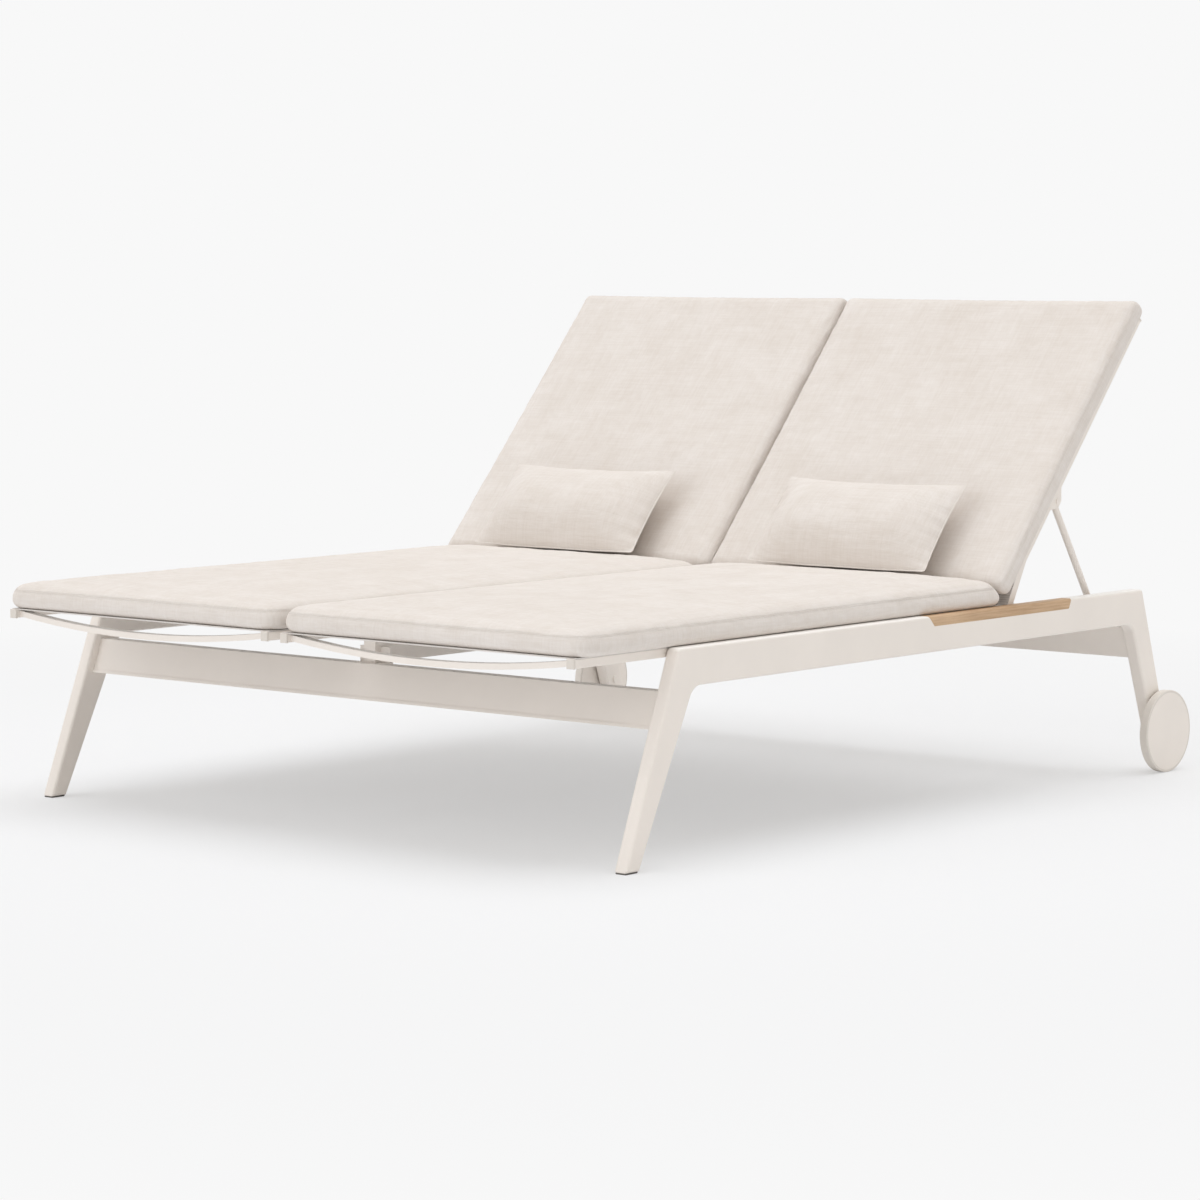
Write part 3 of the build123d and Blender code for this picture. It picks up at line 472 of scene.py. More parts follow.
def shell_faces(columns, rows, ring_count):
    """Quads of a shell, over vertices in the order top grid, inner rings, bottom grid."""
    across = rows + 1
    grid_size = (columns + 1) * across
    loop = border(columns, rows)
    around = len(loop)
    top = [i * across + j for i, j in loop]
    bottom_start = grid_size + ring_count * around
    rings = [top]
    rings += [[grid_size + r * around + p for p in range(around)] for r in range(ring_count)]
    rings.append([bottom_start + place for place in top])
    faces = []
    for i in range(columns):
        for j in range(rows):
            a, b = i * across + j, (i + 1) * across + j
            faces.append((a, b, b + 1, a + 1))
            faces.append((bottom_start + a, bottom_start + a + 1, bottom_start + b + 1, bottom_start + b))
    for upper, lower in zip(rings, rings[1:]):
        for p in range(around):
            q = (p + 1) % around
            faces.append((upper[p], lower[p], lower[q], upper[q]))
    return faces


def shell_object(name, parts, columns, rows):
    """A mesh object from a top grid, a list of inner rings and a bottom grid, in its own frame."""
    top, rings, bottom = parts
    points = np.concatenate((top.reshape(-1, 3), *rings, bottom.reshape(-1, 3)))
    return smooth_object(name, points.tolist(), shell_faces(columns, rows, len(rings)))


def split_shell(points, columns, rows, ring_count):
    """Takes a shell's points apart again into top grid, rings and bottom grid."""
    grid_size = (columns + 1) * (rows + 1)
    around = 2 * (columns + rows)
    top = points[:grid_size].reshape(columns + 1, rows + 1, 3)
    rings = [points[grid_size + r * around:grid_size + (r + 1) * around] for r in range(ring_count)]
    bottom = points[grid_size + ring_count * around:].reshape(columns + 1, rows + 1, 3)
    return top, rings, bottom


def mesh_points(made):
    """An object's mesh points, as rows of x, y and z."""
    points = np.zeros(len(made.data.vertices) * 3)
    made.data.vertices.foreach_get("co", points)
    return points.reshape(-1, 3)


# How a cover's cloth behaves
COVER_CLOTH = {
    "quality": 6, "mass": 0.25, "tension_stiffness": 25.0, "compression_stiffness": 25.0,
    "shear_stiffness": 12.0, "bending_stiffness": 0.4, "pin_stiffness": 1.2, "use_pressure": True,
}


def add_cloth(made, pressure, ease, frames):
    """Makes a cover a cloth that swells, cut larger than its filling by a share."""
    modifier = made.modifiers.new("cover", "CLOTH")
    cloth = modifier.settings
    for key, value in COVER_CLOTH.items():
        setattr(cloth, key, value)
    cloth.vertex_group_mass = "held"
    cloth.uniform_pressure_force = pressure
    cloth.shrink_min = -ease
    cloth.shrink_max = -ease
    cloth.effector_weights.gravity = 0.0
    modifier.collision_settings.use_collision = False
    modifier.collision_settings.use_self_collision = False
    modifier.point_cache.frame_start = 1
    modifier.point_cache.frame_end = frames


def simulate_cover(name, parts, columns, rows, held, pressure, ease, frames, cap):
    """Lets a cover settle as cloth over its filling, and returns its parts where they come to rest.

    Points with a held share of 1 stay where they are, and none moves further than the cap.
    """
    made = shell_object(name + "_draft", parts, columns, rows)
    start = mesh_points(made)
    group = made.vertex_groups.new(name="held")
    for level in np.unique(held[held > 0.0]):
        group.add(np.nonzero(held == level)[0].tolist(), float(level), "REPLACE")
    add_cloth(made, pressure, ease, frames)
    scene = bpy.context.scene
    for number in range(1, frames + 1):
        scene.frame_set(number)
    moved = mesh_points(made.evaluated_get(bpy.context.evaluated_depsgraph_get())) - start
    bpy.data.objects.remove(made)
    scene.frame_set(1)
    length = np.linalg.norm(moved, axis=1)
    moved *= np.minimum(1.0, cap / np.maximum(length, 1e-9))[:, None]
    return split_shell(start + moved, columns, rows, len(parts[1]))


def loop_outward(loop):
    """The level direction out of a closed counterclockwise loop, at each of its points."""
    along = np.roll(loop, -1, axis=0) - np.roll(loop, 1, axis=0)
    out = np.column_stack((along[:, 1], -along[:, 0], np.zeros(len(loop))))
    return out / np.linalg.norm(out, axis=1)[:, None]


# A raised seam: its half width, its grooves' place as a share of that, and the grooves' depth and the
# lip's height as shares of the lip's setting
SEAM_HALF = 2.4 * MM
GROOVE_PLACE = 0.4
GROOVE_DEPTH = 0.9
LIP_HEIGHT = 0.6


def seam_rings(upper, seam, lower, lip):
    """The rings of a raised seam: a groove, the sewn lip and another groove."""
    outward = loop_outward(seam)
    above = upper - seam
    below = lower - seam
    above *= (SEAM_HALF / np.linalg.norm(above, axis=1))[:, None]
    below *= (SEAM_HALF / np.linalg.norm(below, axis=1))[:, None]
    return [
        seam + above,
        seam + above * GROOVE_PLACE - outward * GROOVE_DEPTH * lip,
        seam + outward * LIP_HEIGHT * lip,
        seam + below * GROOVE_PLACE - outward * GROOVE_DEPTH * lip,
        seam + below,
    ]


def places_along(loop, pitch, shifts):
    """Places a pitch apart along a closed loop, once for each distance they are shifted by."""
    closed = np.vstack((loop, loop[:1]))
    steps = np.concatenate(([0.0], np.cumsum(np.linalg.norm(np.diff(closed, axis=0), axis=1))))
    whole = steps[-1]
    count = int(whole / pitch)
    places = [(np.arange(count) * whole / count + shift) % whole for shift in shifts]
    return [np.column_stack([np.interp(at, steps, axis) for axis in closed.T]) for at in places]


# A stitch: where it starts, thickens, thins and ends and where its middle is, as shares of the pitch,
# half its thickness, and how far it stands up as a share of that
STITCH_SHARES = (0.0, 0.16, 0.60, 0.76, 0.38)
STITCH_HALF = 0.38 * MM
STITCH_RISE = 1.3


def stitch_row(loop, outward, pitch):
    """Short raised stitches along a loop, as points and faces."""
    shifts = [pitch * share for share in STITCH_SHARES]
    start, near, far, end, middle = places_along(loop, pitch, shifts)
    nearest = np.array([np.argmin(((loop - place) ** 2).sum(axis=1)) for place in middle])
    up = outward[nearest]
    along = end - start
    along /= np.linalg.norm(along, axis=1)[:, None]
    across = np.cross(along, up)
    half_up, half_across = up * STITCH_HALF, across * STITCH_HALF
    points, faces = [], []
    for k in range(len(start)):
        first = len(points)
        points.append(start[k] - half_up[k])
        for ring in (near[k], far[k]):
            points += [ring + half_across[k], ring + half_up[k] * STITCH_RISE,
                       ring - half_across[k], ring - half_up[k]]
        points.append(end[k] - half_up[k])
        for side in range(4):
            following = (side + 1) % 4
            faces.append((first + 1 + side, first + 5 + side, first + 5 + following, first + 1 + following))
            faces.append((first, first + 1 + side, first + 1 + following))
            faces.append((first + 9, first + 5 + following, first + 5 + side))
    return points, faces


def make_stitches(name, rows, matrix, body, settings):
    """One piece with every stitch row of a cushion."""
    points, faces = [], []
    for loop, outward in rows:
        more, sides = stitch_row(loop, outward, settings.stitch_length)
        faces += [tuple(index + len(points) for index in face) for face in sides]
        points += more
    made = smooth_object(name, points, faces)
    made.data.materials.append(bpy.data.materials["stitch_thread"])
    made.matrix_world = matrix
    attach(made, body)


# Height at which the boxing of a flat cushion meets its crown, in millimetres
CROWN_FOOT = 46.5
# Boxing, from the crown down: height above the base and inset, in millimetres
SEAT_PROFILE = (
    (CROWN_FOOT, 19.0), (43.6, 13.2), (39.8, 8.8), (35.6, 5.4), (30.6, 2.9),
    (25.0, 1.2), (19.0, 0.4), (13.0, 0.9), (7.6, 2.9), (3.2, 6.2),
)
BACK_PROFILE = (
    (CROWN_FOOT, 19.0), (43.4, 11.0), (39.4, 6.0), (35.2, 3.0), (31.0, 1.2),
    (26.0, 0.4), (20.0, 0.2), (13.0, 0.8), (7.6, 2.9), (3.2, 6.2),
)
SEAM_RING = 2
BASE_HEIGHT = 0.6
BASE_INSET = 10.0
# Crowns, as rows of inset and height in millimetres
SEAT_CROWN = (
    (19.0, CROWN_FOOT), (26.0, 48.7), (38.0, 50.9), (70.0, 54.6),
    (105.0, 58.4), (140.0, 61.6), (180.0, 63.6), (230.0, 64.0),
)
BACK_CROWN = ((19.0, CROWN_FOOT), (26.0, 48.0), (38.0, 49.0), (56.0, 49.7), (80.0, 50.0))
# The rear end of a seat, which gives way to the raised back, as rows of inset and height
SEAT_REAR = (
    (0.3, 16.0), (3.6, 21.0), (13.0, 32.0), (17.4, 37.0), (24.0, 43.5),
    (29.0, 47.0), (40.0, 52.4), (68.0, 57.6), (96.0, 61.4), (126.0, 63.6), (170.0, 64.0),
)
# Corner radius, boxing, crown and rear end of each cushion
SEAT_SHAPE = (36.0 * MM, SEAT_PROFILE, SEAT_CROWN, SEAT_REAR)
BACK_SHAPE = (15.0 * MM, BACK_PROFILE, BACK_CROWN, None)
# Steps of a cushion's grid, from its edge inwards and then over the middle
CUSHION_STEPS = (5.0 * MM, 6.0 * MM, 8.0 * MM, 10.0 * MM)
CUSHION_STEP = 12.0 * MM
# How far the edges lie inside the corners
CUSHION_DRAW = (2.5 * MM,) * 3
# Low waves in the foam: how many, their lengths, their height and how far from the edge they fade out
WAVE_COUNT = 7
WAVE_LENGTHS = (0.10, 0.34)
WAVE_HEIGHT = 0.55 * MM
WAVE_FADE = 0.05
CUSHION_GRAIN = 0.10 * MM
# How firmly a cushion's top and boxing are held to the foam while the cover settles
TOP_HELD = 0.22
BOXING_HELD = 0.12


def read_rows(rows, value, by_height=False):
    """Reads a table of inset and height at an inset, or the other way round at a height."""
    insets, heights = zip(*rows)
    return np.interp(value, heights, insets) if by_height else np.interp(value, insets, heights)


def soften(heights, rounds):
    """Evens out a grid of heights without moving its border."""
    for _ in range(rounds):
        near = heights[:-2, 1:-1] + heights[2:, 1:-1] + heights[1:-1, :-2] + heights[1:-1, 2:]
        heights[1:-1, 1:-1] = 0.5 * heights[1:-1, 1:-1] + near / 8.0
    return heights


def gentle_waves(plan, seed, height):
    """Low waves in the foam, the same on every run."""
    random = np.random.default_rng(seed)
    total = 0.0
    for _ in range(WAVE_COUNT):
        turn = random.uniform(0.0, math.tau)
        length = random.uniform(*WAVE_LENGTHS)
        along = (plan[..., 0] * math.cos(turn) + plan[..., 1] * math.sin(turn)) / length
        total += np.sin(along * math.tau + random.uniform(0.0, math.tau))
    return total * height / 3.0


def cushion_layer(half, shape, height, inset):
    """A cushion's plan at a height, the depths inside its edges, and its inset at the rear."""
    radius, _, _, rear = shape
    behind = inset if rear is None else max(inset, float(read_rows(rear, height, True)))
    side, far = inset * MM, behind * MM
    xs, ys = (spread(reach, CUSHION_STEPS, CUSHION_STEP) for reach in half)
    plan, depths = face_grid(xs, ys, half[0] - side, half[1] - (side + far) / 2.0,
                             radius - side / 2.0, CUSHION_DRAW)
    plan[..., 1] += (side - far) / 2.0
    return plan, depths, behind


def cushion_ring(half, shape, height, inset):
    """The border of a cushion's plan, as a ring of points at a height."""
    plan = cushion_layer(half, shape, height, inset)[0]
    loop = np.array([plan[i, j] for i, j in border(plan.shape[0] - 1, plan.shape[1] - 1)])
    return np.column_stack((loop, np.full(len(loop), height * MM)))


def crown_heights(plan, depths, insets, shape, seed):
    """Heights of a cushion's crowned top, with low waves and a fine grain in its foam."""
    _, _, crown, rear = shape
    sides, front, far = depths
    edge_inset, behind = insets
    heights = read_rows(crown, np.minimum(sides, front) / MM + edge_inset)
    heights = np.minimum(heights, read_rows(rear or crown, far / MM + behind))
    heights = soften(heights * MM, 5)
    inward = np.minimum(np.minimum(sides, front), far)
    heights += gentle_waves(plan, seed, WAVE_HEIGHT) * np.clip(inward / WAVE_FADE, 0.0, 1.0)
    grain = np.random.default_rng(seed).normal(0.0, CUSHION_GRAIN, heights.shape)
    return heights + grain * (inward > 0.0)


def cushion_parts(box, shape, seed):
    """Top grid, side rings and bottom grid of a flat cushion, before its cover settles."""
    low, high = box
    half = (high - low)[:2] / 2.0
    centre = np.append((low + high)[:2] / 2.0, low[2])
    (edge_height, edge_inset), *boxing = shape[1]
    plan, depths, behind = cushion_layer(half, shape, edge_height, edge_inset)
    heights = crown_heights(plan, depths, (edge_inset, behind), shape, seed)
    base_plan = cushion_layer(half, shape, BASE_HEIGHT, BASE_INSET)[0]
    base_heights = np.full(base_plan.shape[:2], BASE_HEIGHT * MM)
    top = np.dstack((plan, heights)) + centre
    rings = [cushion_ring(half, shape, height, inset) + centre for height, inset in boxing]
    bottom = np.dstack((base_plan, base_heights)) + centre
    return (top, rings, bottom), plan.shape[0] - 1, plan.shape[1] - 1


def settle_cushion(name, parts, columns, rows, settings):
    """Lets the sewn cover swell over its foam, held at the seam and underneath."""
    top, rings, bottom = parts
    held = [np.full(top[..., 0].size, TOP_HELD)]
    for index, ring in enumerate(rings):
        sewn = index in (SEAM_RING, len(rings) - 1)
        held.append(np.full(len(ring), 1.0 if sewn else BOXING_HELD))
    held.append(np.ones(bottom[..., 0].size))
    return simulate_cover(name, parts, columns, rows, np.concatenate(held), pressure=0.5,
                          ease=settings.edge_ease, frames=16, cap=2.5 * MM)


def fit_cushion(parts, box):
    """Brings a settled cushion back inside the space of its CAD solid."""
    top, rings, bottom = parts
    low, high = box
    edge = low[2] + CROWN_FOOT * MM
    rise = top[..., 2].max() - edge
    shrink = min(1.0, (high[2] - edge) / rise)
    top[..., 2] = np.where(top[..., 2] > edge, edge + (top[..., 2] - edge) * shrink, top[..., 2])
    points = np.concatenate([part.reshape(-1, 3) for part in (top, *rings, bottom)])
    for axis in (0, 1):
        least, most = points[:, axis].min(), points[:, axis].max()
        middle = (low[axis] + high[axis]) / 2.0
        scale = min(1.0, (high[axis] - low[axis]) / (most - least))
        for part in (top, *rings, bottom):
            part[..., axis] = middle + (part[..., axis] - (most + least) / 2.0) * scale
    return top, rings, bottom


def make_cushion(name, box, matrix, body, shape, seed, settings):
    """A foam cushion in a sewn cover with a raised, stitched seam around its edge."""
    parts, columns, rows = cushion_parts(box, shape, seed)
    parts = fit_cushion(settle_cushion(name, parts, columns, rows, settings), box)
    top, rings, bottom = parts
    seam = rings[SEAM_RING]
    outward = loop_outward(seam)
    sewn = seam_rings(rings[SEAM_RING - 1], seam, rings[SEAM_RING + 1], settings.seam_lip)
    stitches = [(edge + outward * 0.1 * MM, outward) for edge in (sewn[0], sewn[-1])]
    rings = [*rings[:SEAM_RING], *sewn, *rings[SEAM_RING + 1:]]
    made = shell_object(name, (top, rings, bottom), columns, rows)
    finish_padded(made, matrix, body)
    make_stitches(name.replace("cover_", "stitches_"), stitches, matrix, body, settings)


def finish_padded(made, matrix, body):
    """Gives a cover its cloth and a smooth surface, and puts it in its solid's place."""
    made.data.materials.append(bpy.data.materials["cover_cloth"])
    smooth = made.modifiers.new("smooth", "SUBSURF")
    smooth.levels = 1
    smooth.render_levels = 1
    made.matrix_world = matrix
    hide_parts(made.name.replace("cover_", ""))
    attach(made, body)


# How far the edge of a pillow lies inside its corners at the two ends, at the front and at the rear
PILLOW_DRAW = (7.0 * MM, -2.5 * MM, 8.5 * MM)
# How far the pointed corners of a pillow reach beyond its CAD solid
CORNER_REACH = 2.0 * MM
PILLOW_CORNER = 4.0 * MM
# How far a pillow's full thickness lies from its ends, and from its front and rear edges as shares of
# half its depth
PILLOW_TAPER = 120.0 * MM
PILLOW_PEAK = (0.84, 1.16)
# Below 1 the pillow is fuller near its edges
PILLOW_FULLNESS = 0.72
PILLOW_STEPS = (3.0 * MM, 4.0 * MM, 5.0 * MM)
PILLOW_STEP = 6.5 * MM
PILLOW_GRAIN = 0.3 * MM
# How far the seam wanders up and down, and how fast, in radians from one point to the next
SEAM_WANDER = 0.5 * MM
SEAM_TURN = 0.21
# The flat sewn lip: its width, half its thickness and where it starts outside the seam
LIP_WIDTH = 2.6 * MM
LIP_HALF = 0.7 * MM
LIP_START = 0.5 * MM
# Where a pillow leans on the back: its gap, how deep it is pressed, and what is left of that depth
LEAN_GAP = 0.2 * MM
LEAN_DEPTH = 9.0 * MM
LEAN_SHARE = 0.35


def pillow_parts(size, seed):
    """Two filled panels sewn together at a knife edge, about the pillow's middle."""
    half_x, half_y = size[:2] / 2.0 - LIP_WIDTH + CORNER_REACH
    xs = spread(half_x, PILLOW_STEPS, PILLOW_STEP)
    ys = spread(half_y, PILLOW_STEPS, PILLOW_STEP)
    plan, (sides, front, far) = face_grid(xs, ys, half_x, half_y, PILLOW_CORNER, PILLOW_DRAW)
    along = np.clip(sides / PILLOW_TAPER, 0.0, 1.0)
    front_peak, rear_peak = (share * half_y for share in PILLOW_PEAK)
    across = np.clip(np.minimum(front / front_peak, far / rear_peak), 0.0, 1.0)
    swell = (np.sin(along * math.pi / 2.0) * np.sin(across * math.pi / 2.0)) ** PILLOW_FULLNESS
    swell *= size[2] / 2.0 - 1.0 * MM
    noise = np.random.default_rng(seed).normal(0.0, PILLOW_GRAIN, swell.shape) * (swell > 0.0)
    top = np.dstack((plan, swell + noise))
    bottom = np.dstack((plan, -swell - noise))
    loop = border(len(xs) - 1, len(ys) - 1)
    seam = np.array([(*plan[i, j], 0.0) for i, j in loop])
    seam[:, 2] = SEAM_WANDER * np.sin(SEAM_TURN * np.arange(len(loop)))
    return (top, [seam], bottom), len(xs) - 1, len(ys) - 1


def gathers(random, along_seam, lengths):
    """Short waves along a seam, of random length and phase."""
    lift = 0.0
    for _ in range(4):
        length = random.uniform(*lengths) * MM
        lift += np.sin(math.tau * along_seam / length + random.uniform(0.0, math.tau))
    return lift


def dying_away(depth, start, reach):
    """A share that grows from a seam to a start and dies away over a reach, both in millimetres."""
    return np.exp(-np.maximum(depth, 0.0) / (reach * MM)) * np.clip(depth / (start * MM), 0.0, 1.0)


def add_puckers(top, middle, size, seed):
    """Short gathers in the cloth where it meets the seam, mostly at the two ends of a pillow."""
    random = np.random.default_rng(seed)
    offset = top[..., :2] - middle[:2]
    end_depth, edge_depth = np.moveaxis(size[:2] / 2.0 - np.abs(offset), 2, 0)
    end_height, edge_height, corner = 1.1 * MM, 0.3 * MM, 20.0 * MM
    for sign in (-1.0, 1.0):
        lift = gathers(random, top[..., 1], (24.0, 40.0)) * dying_away(end_depth, 6.0, 22.0)
        here = (np.sign(offset[..., 0]) == sign) * np.clip(edge_depth / corner, 0.0, 1.0)
        top[..., 2] += lift * end_height * here
    lift = gathers(random, top[..., 0], (26.0, 60.0)) * dying_away(edge_depth, 5.0, 11.0)
    top[..., 2] += lift * edge_height * np.clip(end_depth / corner, 0.0, 1.0)


def fill_pillow(name, parts, columns, rows, settings):
    """Lets a pillow's cover settle as cloth over its filling, held at the seam."""
    edge = np.ones((columns + 1, rows + 1))
    edge[1:-1, 1:-1] = 0.0
    seam = np.ones(len(border(columns, rows)))
    held = np.concatenate((edge.ravel(), seam, edge.ravel()))
    return simulate_cover(name, parts, columns, rows, held, pressure=3.0,
                          ease=settings.pillow_ease, frames=24, cap=7.0 * MM)


def make_pillow(name, box, matrix, body, seed, settings):
    """A loose pillow with knife edges, filled until it is as thick as its CAD solid."""
    low, high = box
    size = high - low
    middle = (low + high) / 2.0
    parts, columns, rows = pillow_parts(size, seed)
    parts = fill_pillow(name, parts, columns, rows, settings)
    top, (seam,), bottom = parts
    for panel in (top, bottom):
        panel[..., 2] *= size[2] / 2.0 / np.abs(panel[..., 2]).max()
    top, seam, bottom = (part + middle for part in (top, seam, bottom))
    # The lower panel is flattened where it leans on the back cushion.
    rest = low[2] + LEAN_GAP
    bottom[..., 2] = np.where(bottom[..., 2] < rest + LEAN_DEPTH,
                              rest + (bottom[..., 2] - rest) * LEAN_SHARE, bottom[..., 2])
    add_puckers(top, middle, size, seed)
    outward = loop_outward(seam)
    edge = np.array([0.0, 0.0, LIP_HALF])
    inner = seam + outward * LIP_START
    lip = seam + outward * LIP_WIDTH
    rings = [inner + edge, lip + edge, lip - edge, inner - edge]
    made = shell_object(name, (top, rings, bottom), columns, rows)
    finish_padded(made, matrix, body)


# Colours of the small fittings
STEEL = (0.62, 0.60, 0.57)
TREAD = (0.80, 0.75, 0.69)
GLIDE = (0.10, 0.09, 0.08)
# First seeds of the foam's and the fillings' waves
SEAT_SEED = 11
BACK_SEED = 21
PILLOW_SEED = 31


# Operators
class CHAISE_OT_frame_finish(bpy.types.Operator):
    """Give every part of the frame its coat, wood, plastic, steel or mesh finish"""

    bl_idname = "chaise.frame_finish"
    bl_label = "Finish Frame"

    def execute(self, context):
        settings = context.scene.chaise_frame
        fabric = context.scene.chaise_fabric
        finishes = {
            "frame_coat": powder_coat(settings),
            "teak": oiled_teak(settings),
            "plastic_fittings": satin_plastic("satin_fittings", tuple(settings.fitting_colour), 0.5),
            "fasteners": brushed_metal("stainless_steel", STEEL),
            "sling_mesh": sling_mesh(fabric),
            "tyre": satin_plastic("soft_tread", TREAD, 0.6),
            "cushion_fabric": cover_cloth(fabric),
        }
        stitch_thread(fabric)
        dark_glide = satin_plastic("dark_glide", GLIDE, 0.6)
        slot_of = {part["node"]: part["material_slot"] for part in frame["record"]["subparts"]}
        for name, node in frame["nodes"].items():
            finish = dark_glide if name == "foot_glides" else finishes[slot_of[name]]
            node.data.materials.clear()
            node.data.materials.append(finish)
        return {"FINISHED"}


class CHAISE_OT_seat_cushions(bpy.types.Operator):
    """Make the flat cushions of the two seats"""

    bl_idname = "chaise.seat_cushions"
    bl_label = "Seat Cushions"

    def execute(self, context):
        settings = context.scene.chaise_fabric
        for seed, side in enumerate(SIDES, SEAT_SEED):
            box = local_box("seat_cushion_" + side, IDENTITY)
            make_cushion("cover_seat_cushion_" + side, box, IDENTITY, "base",
                         SEAT_SHAPE, seed, settings)
        return {"FINISHED"}


class CHAISE_OT_back_cushions(bpy.types.Operator):
    """Make the cushions of the two reclining backs"""

    bl_idname = "chaise.back_cushions"
    bl_label = "Back Cushions"

    def execute(self, context):
        settings = context.scene.chaise_fabric
        reach = np.array([settings.meeting, 0.0, 0.0])
        for seed, side in enumerate(SIDES, BACK_SEED):
            low, high = local_box("back_cushion_" + side, BACK_FRAME)
            box = (low, high + reach) if side == "left" else (low - reach, high)
            make_cushion("cover_back_cushion_" + side, box, BACK_FRAME, "backrest_" + side,
                         BACK_SHAPE, seed, settings)
        return {"FINISHED"}


class CHAISE_OT_lumbar_pillows(bpy.types.Operator):
    """Make the loose pillows that lean on the backs"""

    bl_idname = "chaise.lumbar_pillows"
    bl_label = "Lumbar Pillows"

    def execute(self, context):
        settings = context.scene.chaise_fabric
        for seed, side in enumerate(SIDES, PILLOW_SEED):
            box = local_box("lumbar_pillow_" + side, BACK_FRAME)
            make_pillow("cover_lumbar_pillow_" + side, box, BACK_FRAME, "backrest_" + side,
                        seed, settings)
        return {"FINISHED"}


# How soft the lamps are, where they shine from, and the tints of the light and the floor
LAMP_SOFTNESS = math.radians(60.0)
OVERHEAD_FROM = (0.05, 0.10, 1.0)
FRONT_FROM = (-0.45, -1.0, 0.45)
LAMP_TINT = (0.975, 1.0, 1.04)
AMBIENT_TINT = (1.0, 0.957, 0.905, 1.0)
FLOOR_PAINT = (0.91, 0.92, 0.935)
# The floor's shading fades into the background between these distances from the middle
FADE_START = 1.6
FADE_END = 3.6
# The floor's rings of faces, the faces in each, and how much wider the outer rings are
FLOOR_RINGS = 24
FLOOR_AROUND = 96
FLOOR_GROWTH = 1.6


class CHAISE_OT_stage(bpy.types.Operator):
    """Set up the camera, the pale floor and the soft lights"""

    bl_idname = "chaise.stage"
    bl_label = "Studio"

    def execute(self, context):
        scene = context.scene
        settings = scene.chaise_stage
        camera = bpy.data.cameras.new("studio_camera")
        camera.sensor_width = 36.0
        camera.lens = settings.camera_lens
        camera.clip_end = 100.0
        stand = new_object("studio_camera", camera)
        stand.location = settings.camera_place
        stand.rotation_euler = (math.pi / 2.0 - settings.camera_fall, 0.0, settings.camera_turn)
        scene.camera = stand
        add_sun("overhead_light", settings.overhead, OVERHEAD_FROM)
        add_sun("front_light", settings.fill, FRONT_FROM)
        light_world(scene, settings)
        add_floor(settings)
        scene.view_settings.view_transform = "Standard"
        return {"FINISHED"}


def add_sun(name, strength, towards):
    """A sun lamp that shines from a direction, with a soft edge to its shadow."""
    lamp = bpy.data.lights.new(name, "SUN")
    lamp.energy = strength
    lamp.angle = LAMP_SOFTNESS
    lamp.color = LAMP_TINT
    made = new_object(name, lamp)
    made.rotation_euler = Vector(towards).to_track_quat("Z", "Y").to_euler()


def mix_shaders(tree, factor, first, second, output):
    """Shows a mix of two shaders."""
    mix = add_node(tree, "ShaderNodeMixShader")
    for socket, source in zip(mix.inputs, (factor, first, second)):
        tree.links.new(source, socket)
    tree.links.new(mix.outputs["Shader"], output.inputs["Surface"])


def light_world(scene, settings):
    """Even light from all around, and the pale background where the camera or a reflection sees it."""
    world = bpy.data.worlds.new("studio_world")
    world.use_nodes = True
    tree = world.node_tree
    tree.nodes.clear()
    output = add_node(tree, "ShaderNodeOutputWorld")
    light = add_node(tree, "ShaderNodeBackground", Strength=settings.ambient)
    shown = add_node(tree, "ShaderNodeBackground")
    light.inputs["Color"].default_value = AMBIENT_TINT
    shown.inputs["Color"].default_value = (settings.backdrop,) * 3 + (1.0,)
    path = add_node(tree, "ShaderNodeLightPath")
    seen = math_node(tree, "MAXIMUM", path.outputs["Is Camera Ray"], path.outputs["Is Glossy Ray"])
    seen = math_node(tree, "MAXIMUM", seen, path.outputs["Is Transmission Ray"])
    mix_shaders(tree, seen, light.outputs["Background"], shown.outputs["Background"], output)
    scene.world = world


def floor_mesh(floor_radius):
    """A flat disc of faces that grow outwards."""
    points = [(0.0, 0.0, 0.0)]
    for ring in range(1, FLOOR_RINGS + 1):
        radius = floor_radius * (ring / FLOOR_RINGS) ** FLOOR_GROWTH
        for step in range(FLOOR_AROUND):
            turn = math.tau * step / FLOOR_AROUND
            points.append((radius * math.cos(turn), radius * math.sin(turn), 0.0))
    faces = [(0, 1 + step, 1 + (step + 1) % FLOOR_AROUND) for step in range(FLOOR_AROUND)]
    for ring in range(FLOOR_RINGS - 1):
        inner = 1 + ring * FLOOR_AROUND
        outer = inner + FLOOR_AROUND
        for step in range(FLOOR_AROUND):
            following = (step + 1) % FLOOR_AROUND
            faces.append((inner + step, outer + step, outer + following, inner + following))
    mesh = bpy.data.meshes.new("studio_floor")
    mesh.from_pydata(points, [], faces)
    return mesh


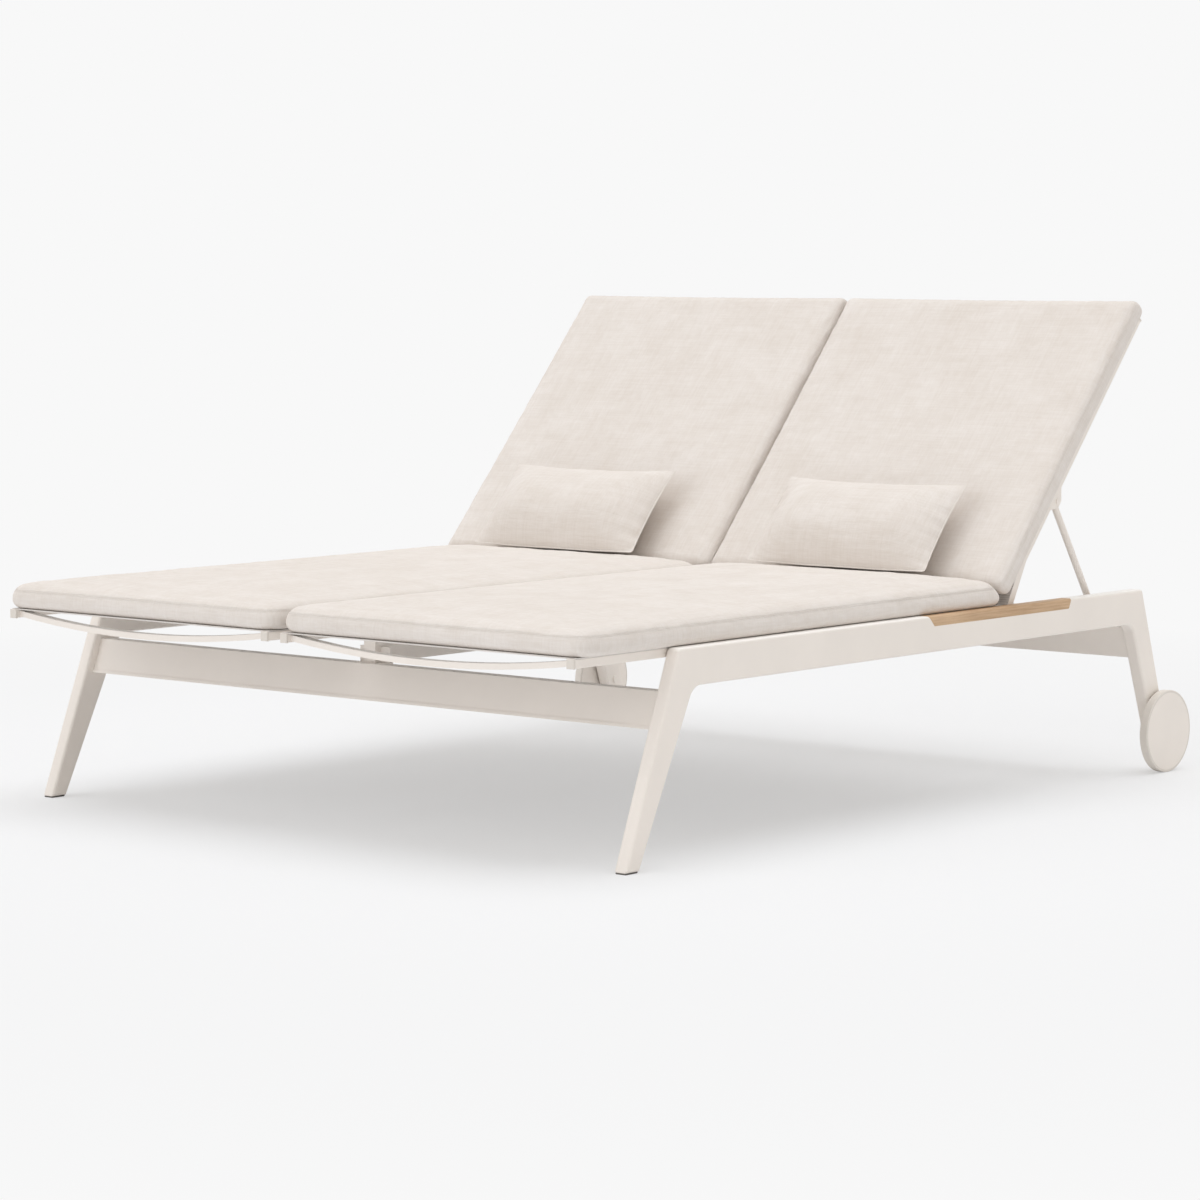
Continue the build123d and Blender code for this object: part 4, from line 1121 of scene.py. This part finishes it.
def floor_finish(settings):
    """Pale paint that takes the shadow near the lounger and fades into the background."""
    material, tree, shader, coords = new_material("studio_floor", FLOOR_PAINT, 0.95)
    shader.inputs["Specular IOR Level"].default_value = 0.0
    glow = add_node(tree, "ShaderNodeEmission")
    glow.inputs["Color"].default_value = (settings.backdrop,) * 3 + (1.0,)
    length = add_node(tree, "ShaderNodeVectorMath", operation="LENGTH")
    tree.links.new(coords.outputs["Object"], length.inputs[0])
    distance = length.outputs["Value"]
    near_share = 1.0 - settings.shadow_share
    share = value_range(tree, distance, FADE_START, FADE_END, near_share, 1.0)
    brightness = value_range(tree, distance, FADE_START, FADE_END, settings.near_glow, 1.0)
    tree.links.new(brightness, glow.inputs["Strength"])
    path = add_node(tree, "ShaderNodeLightPath")
    factor = math_node(tree, "MULTIPLY", share, path.outputs["Is Camera Ray"])
    mix_shaders(tree, factor, shader.outputs["BSDF"], glow.outputs["Emission"],
                tree.nodes["Material Output"])
    return material


def add_floor(settings):
    """A wide pale floor under the lounger."""
    floor = new_object("studio_floor", floor_mesh(settings.floor_radius))
    floor.data.materials.append(floor_finish(settings))


class CHAISE_PT_panel(bpy.types.Panel):
    """Buttons for every group of pieces"""

    bl_idname = "CHAISE_PT_panel"
    bl_label = "Double Chaise Lounger"
    bl_space_type = "VIEW_3D"
    bl_region_type = "UI"
    bl_category = "Chaise"

    def draw(self, context):
        column = self.layout.column()
        for operator in OPERATORS:
            column.operator(operator.bl_idname)
        for group in ("chaise_fabric", "chaise_frame", "chaise_stage"):
            settings = getattr(context.scene, group)
            for key in settings.bl_rna.properties.keys():
                if key not in ("name", "rna_type"):
                    column.prop(settings, key)


SETTINGS = {"chaise_fabric": FabricSettings, "chaise_frame": FrameSettings, "chaise_stage": StageSettings}
OPERATORS = (
    CHAISE_OT_frame_finish,
    CHAISE_OT_seat_cushions,
    CHAISE_OT_back_cushions,
    CHAISE_OT_lumbar_pillows,
    CHAISE_OT_stage,
)
CLASSES = (*SETTINGS.values(), *OPERATORS, CHAISE_PT_panel)


def register():
    for item in CLASSES:
        bpy.utils.register_class(item)
    for name, group in SETTINGS.items():
        setattr(bpy.types.Scene, name, PointerProperty(type=group))


def unregister():
    for name in SETTINGS:
        delattr(bpy.types.Scene, name)
    for item in reversed(CLASSES):
        bpy.utils.unregister_class(item)


def main():
    register()
    bpy.ops.chaise.frame_finish()
    bpy.ops.chaise.seat_cushions()
    bpy.ops.chaise.back_cushions()
    bpy.ops.chaise.lumbar_pillows()
    bpy.ops.chaise.stage()


if __name__ == "__main__":
    main()
